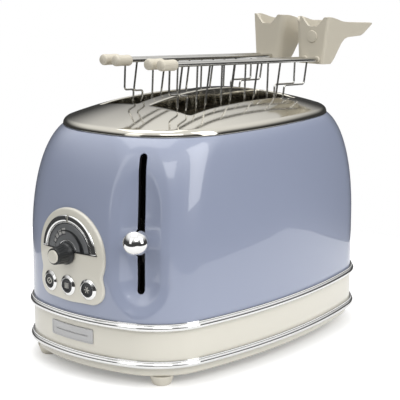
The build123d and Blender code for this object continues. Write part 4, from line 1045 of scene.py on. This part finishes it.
# Sandwich tongs
tongSizes = {
    "tilt": 3.1,
    "height": 0.2403,
    "places": {"near_tong": (0.0, -0.0375), "far_tong": (0.0055, 0.0150)},
    "halfGap": 0.0065,
    "railRadius": 0.0018,
    "railFront": -0.092,
    "tipMiddle": -0.0915,
    "tipLength": 0.019,
    "tipRadius": 0.0048,
    "tipWaist": 0.0043,
    "wireRadius": 0.0008,
    "cageFront": -0.0625,
    "cageRear": 0.0675,
    "cageDepth": 0.088,
    "frontJog": (0.011, 0.025),  # sideways and down
    "rearJog": (0.029, 0.0215),
    "lean": 6.5,
    "innerWires": (-0.039, -0.007, 0.025, 0.057),
    "handleFront": 0.112,
    "wall": 0.003,
    "bottom": -0.004,
    "top": 0.038,
    "halfLow": 0.0125,
    "halfTop": 0.017,
    "scoop": 0.029,
    "wallTop": 0.0374,
    "farWallTop": 0.0272,
    "corner": 0.0028,
    "wingLength": 0.0722,
    # a handle's lower and upper edges, as (back from its front, up) in millimetres
    "wingUnderside": ((0, -4), (12.5, -4), (14.5, -2.6), (18, 1.6), (22.5, 9.2), (26, 14.6), (30, 18.2),
                      (35, 19.8), (45, 20.4), (56, 21.2), (60, 22.8), (72.5, 31.6)),
    "wingTop": ((0, 37.4), (6, 37.4), (14, 36), (20, 34.6), (27, 33.5), (35, 33.1), (50, 32.9), (72.5, 32.7)),
    "pivot": 0.020,
}


def tongPoints(points, place):
    # from the tong's own axes, which fall by the tilt towards the back, to the toaster's
    shift, y = place
    tilt = np.radians(tongSizes["tilt"])
    points = np.asarray(points, float)
    x = shift + points[..., 0] * np.cos(tilt) + points[..., 2] * np.sin(tilt)
    z = tongSizes["height"] - points[..., 0] * np.sin(tilt) + points[..., 2] * np.cos(tilt)
    return np.stack([x, y + points[..., 1], z], -1)


def jawGrids(side, rear, lean):
    # rail, bent end wire and inner wires; the cage turns about its rail by lean
    r, wire = tongSizes["railRadius"], tongSizes["wireRadius"]
    front = tongSizes["cageFront"] - tongSizes["frontJog"][0]
    back = tongSizes["cageRear"] + tongSizes["rearJog"][0]
    depth = tongSizes["cageDepth"]
    railPath = np.array([(x, 0, 0) for x in np.linspace(tongSizes["railFront"], rear, 24)])
    frontDrop, rearDrop = tongSizes["frontJog"][1], tongSizes["rearJog"][1]
    cageFront, cageRear = tongSizes["cageFront"], tongSizes["cageRear"]
    bent = roundedPath([(front, 0, 0), (front, 0, -frontDrop), (cageFront, 0, -frontDrop),
                        (cageFront, 0, -depth), (cageRear, 0, -depth), (cageRear, 0, -rearDrop),
                        (back, 0, -rearDrop), (back, 0, 0)], 0.0025, 6)
    grids = [tubeGrid(railPath, r, 20), tubeGrid(bent, wire, 12)]
    for x in tongSizes["innerWires"]:
        grids.append(tubeGrid([(x, 0, 0), (x, 0, -depth / 2), (x, 0, -depth)], wire, 12))
    turn = np.radians(lean)
    turned = []
    for grid in grids:
        y = grid[..., 1] * np.cos(turn) - grid[..., 2] * np.sin(turn)
        z = grid[..., 1] * np.sin(turn) + grid[..., 2] * np.cos(turn)
        turned.append(np.stack([grid[..., 0], y + side * tongSizes["halfGap"], z], -1))
    return turned


def handleHalf(side, start, full):
    # an L in plan, front wall then side wing, whose width grows upwards; the edges are curves over the path
    halfLow, halfTop = tongSizes["halfLow"], tongSizes["halfTop"]
    bottom, top = tongSizes["bottom"], tongSizes["top"]
    corner = tongSizes["corner"]
    wallStart = 1.0 if full else 0.6
    wallWay = np.linspace(wallStart, -1, 34)
    arc = np.radians(np.linspace(0, 90, 9))[1:-1]
    wingEnd = tongSizes["wingLength"] - (start - tongSizes["handleFront"])
    wingWay = np.linspace(0, 1, 60)
    # along the path: place in the wall (share of the half width), or distance back along the wing
    share = np.concatenate([wallWay, np.full(len(arc) + len(wingWay), -1.0)])
    turn = np.concatenate([np.zeros(len(wallWay)), arc, np.full(len(wingWay), np.pi / 2)])
    back = np.concatenate([np.zeros(len(wallWay) + len(arc)), wingWay * (wingEnd - corner)])
    xBack = corner * (1 - np.cos(turn)) + back
    fromStart = start - tongSizes["handleFront"] + xBack
    lowAt, lowTo = np.array(tongSizes["wingUnderside"]).T / 1000
    highAt, highTo = np.array(tongSizes["wingTop"]).T / 1000
    low = np.interp(fromStart, lowAt, lowTo)
    high = np.interp(fromStart, highAt, highTo)
    scoopShare = np.clip((np.abs(share) * halfTop - 0.0052) / 0.0092, 0, 1)
    scoopShare = scoopShare ** 1.4
    wallTop = tongSizes["scoop"] + (tongSizes["wallTop"] - tongSizes["scoop"]) * scoopShare
    if not full:
        wallTop = np.minimum(wallTop, tongSizes["farWallTop"])
    onWall = (turn == 0) & (back == 0)
    high = np.where(onWall, wallTop, high)
    if not full:
        rise = np.clip((np.arange(len(high)) - len(wallWay) + 8) / 14, 0, 1)
        high = high * rise + np.minimum(high, tongSizes["farWallTop"]) * (1 - rise)
    v = np.linspace(0, 1, 26)[:, None]
    z = low[None] + (high - low)[None] * v
    half = halfLow + (halfTop - halfLow) * (z - bottom) / (top - bottom)
    y = np.where(onWall[None], share[None] * (half - corner), -(half - corner) - corner * np.sin(turn)[None])
    x = np.broadcast_to(start + xBack, z.shape)
    return np.stack([x, -side * y if side > 0 else y, z], -1)


def tongs():
    front, wall = tongSizes["handleFront"], tongSizes["wall"]
    farWall = front + wall + 0.0004
    pivot = tongSizes["pivot"]
    for name, place in tongSizes["places"].items():
        short = name.split("_")[0] + "Tong"
        for side, word, body in ((-1, "near", f"{name}_base"), (1, "far", f"{name}_swing")):
            rear = front + 0.0015 if side < 0 else farWall + 0.0015
            lean = tongSizes["lean"] if side < 0 else 0.0
            grids = [(tongPoints(g, place), True) for g in jawGrids(side, rear, lean)]
            addPiece(f"{short}{word.capitalize()}Jaw", *joinGrids(grids), finishes["wireSteel"], body,
                     f"{name}_{word}_jaw")
            # sleeve on the rail's front end
            middle, length = tongSizes["tipMiddle"], tongSizes["tipLength"]
            r, waist = tongSizes["tipRadius"], tongSizes["tipWaist"]
            a = np.linspace(-1, 1, 41)
            sleeve = (waist + (r - waist) * a ** 2) * np.clip(1 - np.abs(a) ** 9, 0, 1) ** 0.42
            profile = np.stack([middle + a * length / 2, sleeve], -1)
            grid = latheGrid(profile, (0, side * tongSizes["halfGap"], 0), (1, 0, 0), sides=36)
            addPiece(f"{short}{word.capitalize()}Tip", tongPoints(grid, place),
                     roundFaces(grid),
                     finishes["tongCream"], body, f"{name}_{word}_tip")
            start = front if side < 0 else farWall
            grid = handleHalf(side, start, side < 0)
            addPiece(f"{short}{word.capitalize()}Handle", tongPoints(grid, place), gridFaces(*grid.shape[:2]),
                     finishes["tongCream"], body, f"{name}_{word}_handle", solid=wall, bevel=0.0007)
            nubProfile = roundedPath([(-0.0012, 0), (-0.0012, 0.0026), (0.0006, 0.0029), (0.0006, 0)],
                                     [0, 0.0006, 0, 0], 4)
            nub = latheGrid(nubProfile, (front, side * tongSizes["halfGap"], 0), (1, 0, 0), sides=28)
            addPiece(f"{short}{word.capitalize()}Nub", tongPoints(nub, place),
                     roundFaces(nub),
                     finishes["tongCream"], body)
        # pivot pin with a broad flat head, and the wound spring behind the walls
        back = farWall + wall + 0.0052
        reach = back - front
        head = roundedPath([(-0.0009, 0), (-0.0009, 0.0052), (0, 0.0053), (0, 0.002), (reach, 0.002),
                            (reach, 0.0042), (reach + 0.0009, 0.0042), (reach + 0.0009, 0)],
                           [0, 0.0005, 0, 0, 0, 0, 0.0004, 0], 4)
        grid = latheGrid(head, (front, 0, pivot), (1, 0, 0), sides=48)
        addPiece(f"{short}Pin", tongPoints(grid, place), roundFaces(grid),
                 finishes["tongCream"], f"{name}_base", f"{name}_pivot_pin")
        turn = np.linspace(0, 2 * np.pi * 5, 160)
        x = farWall + wall + 0.0007 + 0.0036 * turn / turn[-1]
        coil = np.stack([x, 0.0029 * np.cos(turn), pivot + 0.0029 * np.sin(turn)], -1)
        grid = tubeGrid(coil, 0.00033, 8, across=(1, 0, 0))
        addPiece(f"{short}Spring", tongPoints(grid, place), roundFaces(grid),
                 finishes["wireSteel"], f"{name}_base", f"{name}_spring")


tongs()
print("tongs made")

# Inside: wire guards, the lifting spring and better finishes on the CAD pieces that stay
insideSizes = {
    "guardPlanes": {"near_bread_guard": (-0.054, -0.0052), "far_bread_guard": (0.054, 0.0052)},
    "guardHalf": 0.0839,
    "guardLow": 0.036,
    "guardHigh": 0.186,
    "guardRail": 0.0010,
    "guardWire": 0.0008,
    "springPlace": (-0.101, -0.014),
    "springLow": 0.0301,
    "springHigh": 0.0839,
    "springRadius": 0.0041,
    "springWire": 0.0006,
    "springTurns": 11,
}


def guards():
    half, low, high = insideSizes["guardHalf"], insideSizes["guardLow"], insideSizes["guardHigh"]
    spacing = 2 * (half - 0.006) / 8
    for node, planes in insideSizes["guardPlanes"].items():
        grids = []
        for y in planes:
            for z in (low, high):
                rail = [(-half, y, z), (0, y, z), (half, y, z)]
                grids.append((tubeGrid(rail, insideSizes["guardRail"], 12), True))
            for i in range(-4, 5):
                path = [(i * spacing, y, low), (i * spacing, y, (low + high) / 2), (i * spacing, y, high)]
                grids.append((tubeGrid(path, insideSizes["guardWire"], 10), True))
        name = node.split("_")[0] + "BreadGuard"
        addPiece(name, *joinGrids(grids), finishes["wireSteel"], "toaster", node)


def carriageSpring():
    turn = np.linspace(0, 2 * np.pi * insideSizes["springTurns"], 420)
    low = insideSizes["springLow"] + insideSizes["springWire"]
    high = insideSizes["springHigh"] - insideSizes["springWire"]
    x, y = insideSizes["springPlace"]
    r = insideSizes["springRadius"]
    coil = np.stack([x + r * np.cos(turn), y + r * np.sin(turn), low + (high - low) * turn / turn[-1]], -1)
    grid = tubeGrid(coil, insideSizes["springWire"], 8, across=(0, 0, 1))
    coilPiece = addPiece("carriageSpring", grid, roundFaces(grid),
                         finishes["wireSteel"],
                         None, "carriage_spring")
    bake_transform(coilPiece)


keptFinishes = {
    "base_screws": "sheetSteel", "browning_control": "black", "control_board": "boardGreen",
    "button_switches": "black", "front_frame": "sheetSteel", "rear_frame": "sheetSteel",
    "near_heater_board": "mica", "centre_heater_board": "mica", "far_heater_board": "mica",
    "near_heater_winding": "ribbon", "centre_heater_winding": "ribbon", "far_heater_winding": "ribbon",
    "carriage": "sheetSteel", "near_bread_rack": "sheetSteel", "far_bread_rack": "sheetSteel",
    "guide_rods": "chrome", "latch_magnet": "magnetGrey", "crumb_tray": "sheetSteel",
}
guards()
carriageSpring()
for node, finish in keptFinishes.items():
    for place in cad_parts[node].material_slots:
        place.material = finishes[finish]
print("inside made")

# Studio: pale floor, soft lights and the camera at the photograph's angle
studio = {
    "camera": (-0.8689, -0.7143, 0.3510),
    "target": (0.00177, 0.0, 0.11868),
    "lens": 119.9,
    "floorHalf": 0.42,
    "paper": 0.86,
    "glow": 0.22,
    "worldLow": 0.06,
    "worldHigh": 1.15,
    "worldStart": 0.14,
    "worldEnd": 0.72,
    "lights": {
        "windowLight": {"place": (0.15, -1.75, 1.05), "aim": (0.0, 0.0, 0.12), "size": (0.75, 2.0),
                        "power": 17},
        "leftLight": {"place": (-1.9, 0.1, 0.9), "aim": (0.0, 0.0, 0.12), "size": (0.7, 1.6), "power": 4},
        "topLight": {"place": (-0.2, 0.3, 1.9), "aim": (0.0, 0.0, 0.1), "size": (1.5, 1.2), "power": 9},
        "frontLight": {"place": (-1.5, -1.6, 1.6), "aim": (0.0, 0.0, 0.1), "size": (1.2, 0.8), "power": 8},
    },
}


def addCamera():
    data = bpy.data.cameras.new("camera")
    data.lens = studio["lens"]
    data.sensor_width = 36.0
    camera = bpy.data.objects.new("camera", data)
    camera.location = studio["camera"]
    camera.rotation_mode = "QUATERNION"
    towards = Vector(studio["target"]) - Vector(studio["camera"])
    camera.rotation_quaternion = towards.to_track_quat("-Z", "Y")
    bpy.context.scene.collection.objects.link(camera)
    bpy.context.scene.camera = camera


def addLights():
    for name, light in studio["lights"].items():
        data = bpy.data.lights.new(name, "AREA")
        data.shape = "RECTANGLE"
        data.size, data.size_y = light["size"]
        data.energy = light["power"]
        lamp = bpy.data.objects.new(name, data)
        lamp.location = light["place"]
        lamp.rotation_mode = "QUATERNION"
        lamp.rotation_quaternion = (Vector(light["aim"]) - Vector(light["place"])).to_track_quat("-Z", "Y")
        bpy.context.scene.collection.objects.link(lamp)
    world = bpy.data.worlds.new("studioWorld")
    world.use_nodes = True
    tree = world.node_tree
    dim = tree.nodes["Background"]
    dim.inputs["Color"].default_value = (1, 1, 1, 1)
    # the studio is dark near the horizon and bright overhead
    direction = addNode(tree, "ShaderNodeTexCoord")
    parts = addNode(tree, "ShaderNodeSeparateXYZ")
    height = addNode(tree, "ShaderNodeMapRange", interpolation_type="SMOOTHSTEP", in_1=studio["worldStart"],
                     in_2=studio["worldEnd"], in_3=studio["worldLow"], in_4=studio["worldHigh"])
    tree.links.new(direction.outputs["Generated"], parts.inputs[0])
    tree.links.new(parts.outputs["Z"], height.inputs[0])
    tree.links.new(height.outputs[0], dim.inputs["Strength"])
    white = addNode(tree, "ShaderNodeBackground", in_Color=(1, 1, 1, 1), in_Strength=1.0)
    ray = addNode(tree, "ShaderNodeLightPath")
    mix = addNode(tree, "ShaderNodeMixShader")
    tree.links.new(ray.outputs["Is Camera Ray"], mix.inputs[0])
    tree.links.new(dim.outputs[0], mix.inputs[1])
    tree.links.new(white.outputs[0], mix.inputs[2])
    tree.links.new(mix.outputs[0], tree.nodes["World Output"].inputs[0])
    bpy.context.scene.world = world


def addFloor():
    # the floor is white to the camera away from the object and keeps its shadow
    size = studio["floorHalf"]
    mesh = bpy.data.meshes.new("floor")
    mesh.from_pydata([(-size, -size, 0), (size, -size, 0), (size, size, 0), (-size, size, 0)], [],
                     [(0, 1, 2, 3)])
    floor = bpy.data.objects.new("floor", mesh)
    bpy.context.scene.collection.objects.link(floor)
    material = bpy.data.materials.new("floorPaper")
    material.use_nodes = True
    tree = material.node_tree
    shader = tree.nodes["Principled BSDF"]
    shader.inputs["Base Color"].default_value = (*[studio["paper"]] * 3, 1)
    shader.inputs["Roughness"].default_value = 0.8
    shader.inputs["Specular IOR Level"].default_value = 0.1
    glow = addNode(tree, "ShaderNodeEmission", in_Color=(1, 1, 1, 1))
    ray = addNode(tree, "ShaderNodeLightPath")
    strength = addNode(tree, "ShaderNodeMath", operation="MULTIPLY", in_1=studio["glow"])
    add = addNode(tree, "ShaderNodeAddShader")
    tree.links.new(ray.outputs["Is Camera Ray"], strength.inputs[0])
    tree.links.new(strength.outputs[0], glow.inputs["Strength"])
    tree.links.new(shader.outputs[0], add.inputs[0])
    tree.links.new(glow.outputs[0], add.inputs[1])
    tree.links.new(add.outputs[0], tree.nodes["Material Output"].inputs[0])
    mesh.materials.append(material)


addCamera()
addLights()
addFloor()
bpy.context.scene.view_settings.view_transform = "Standard"
print("studio made")
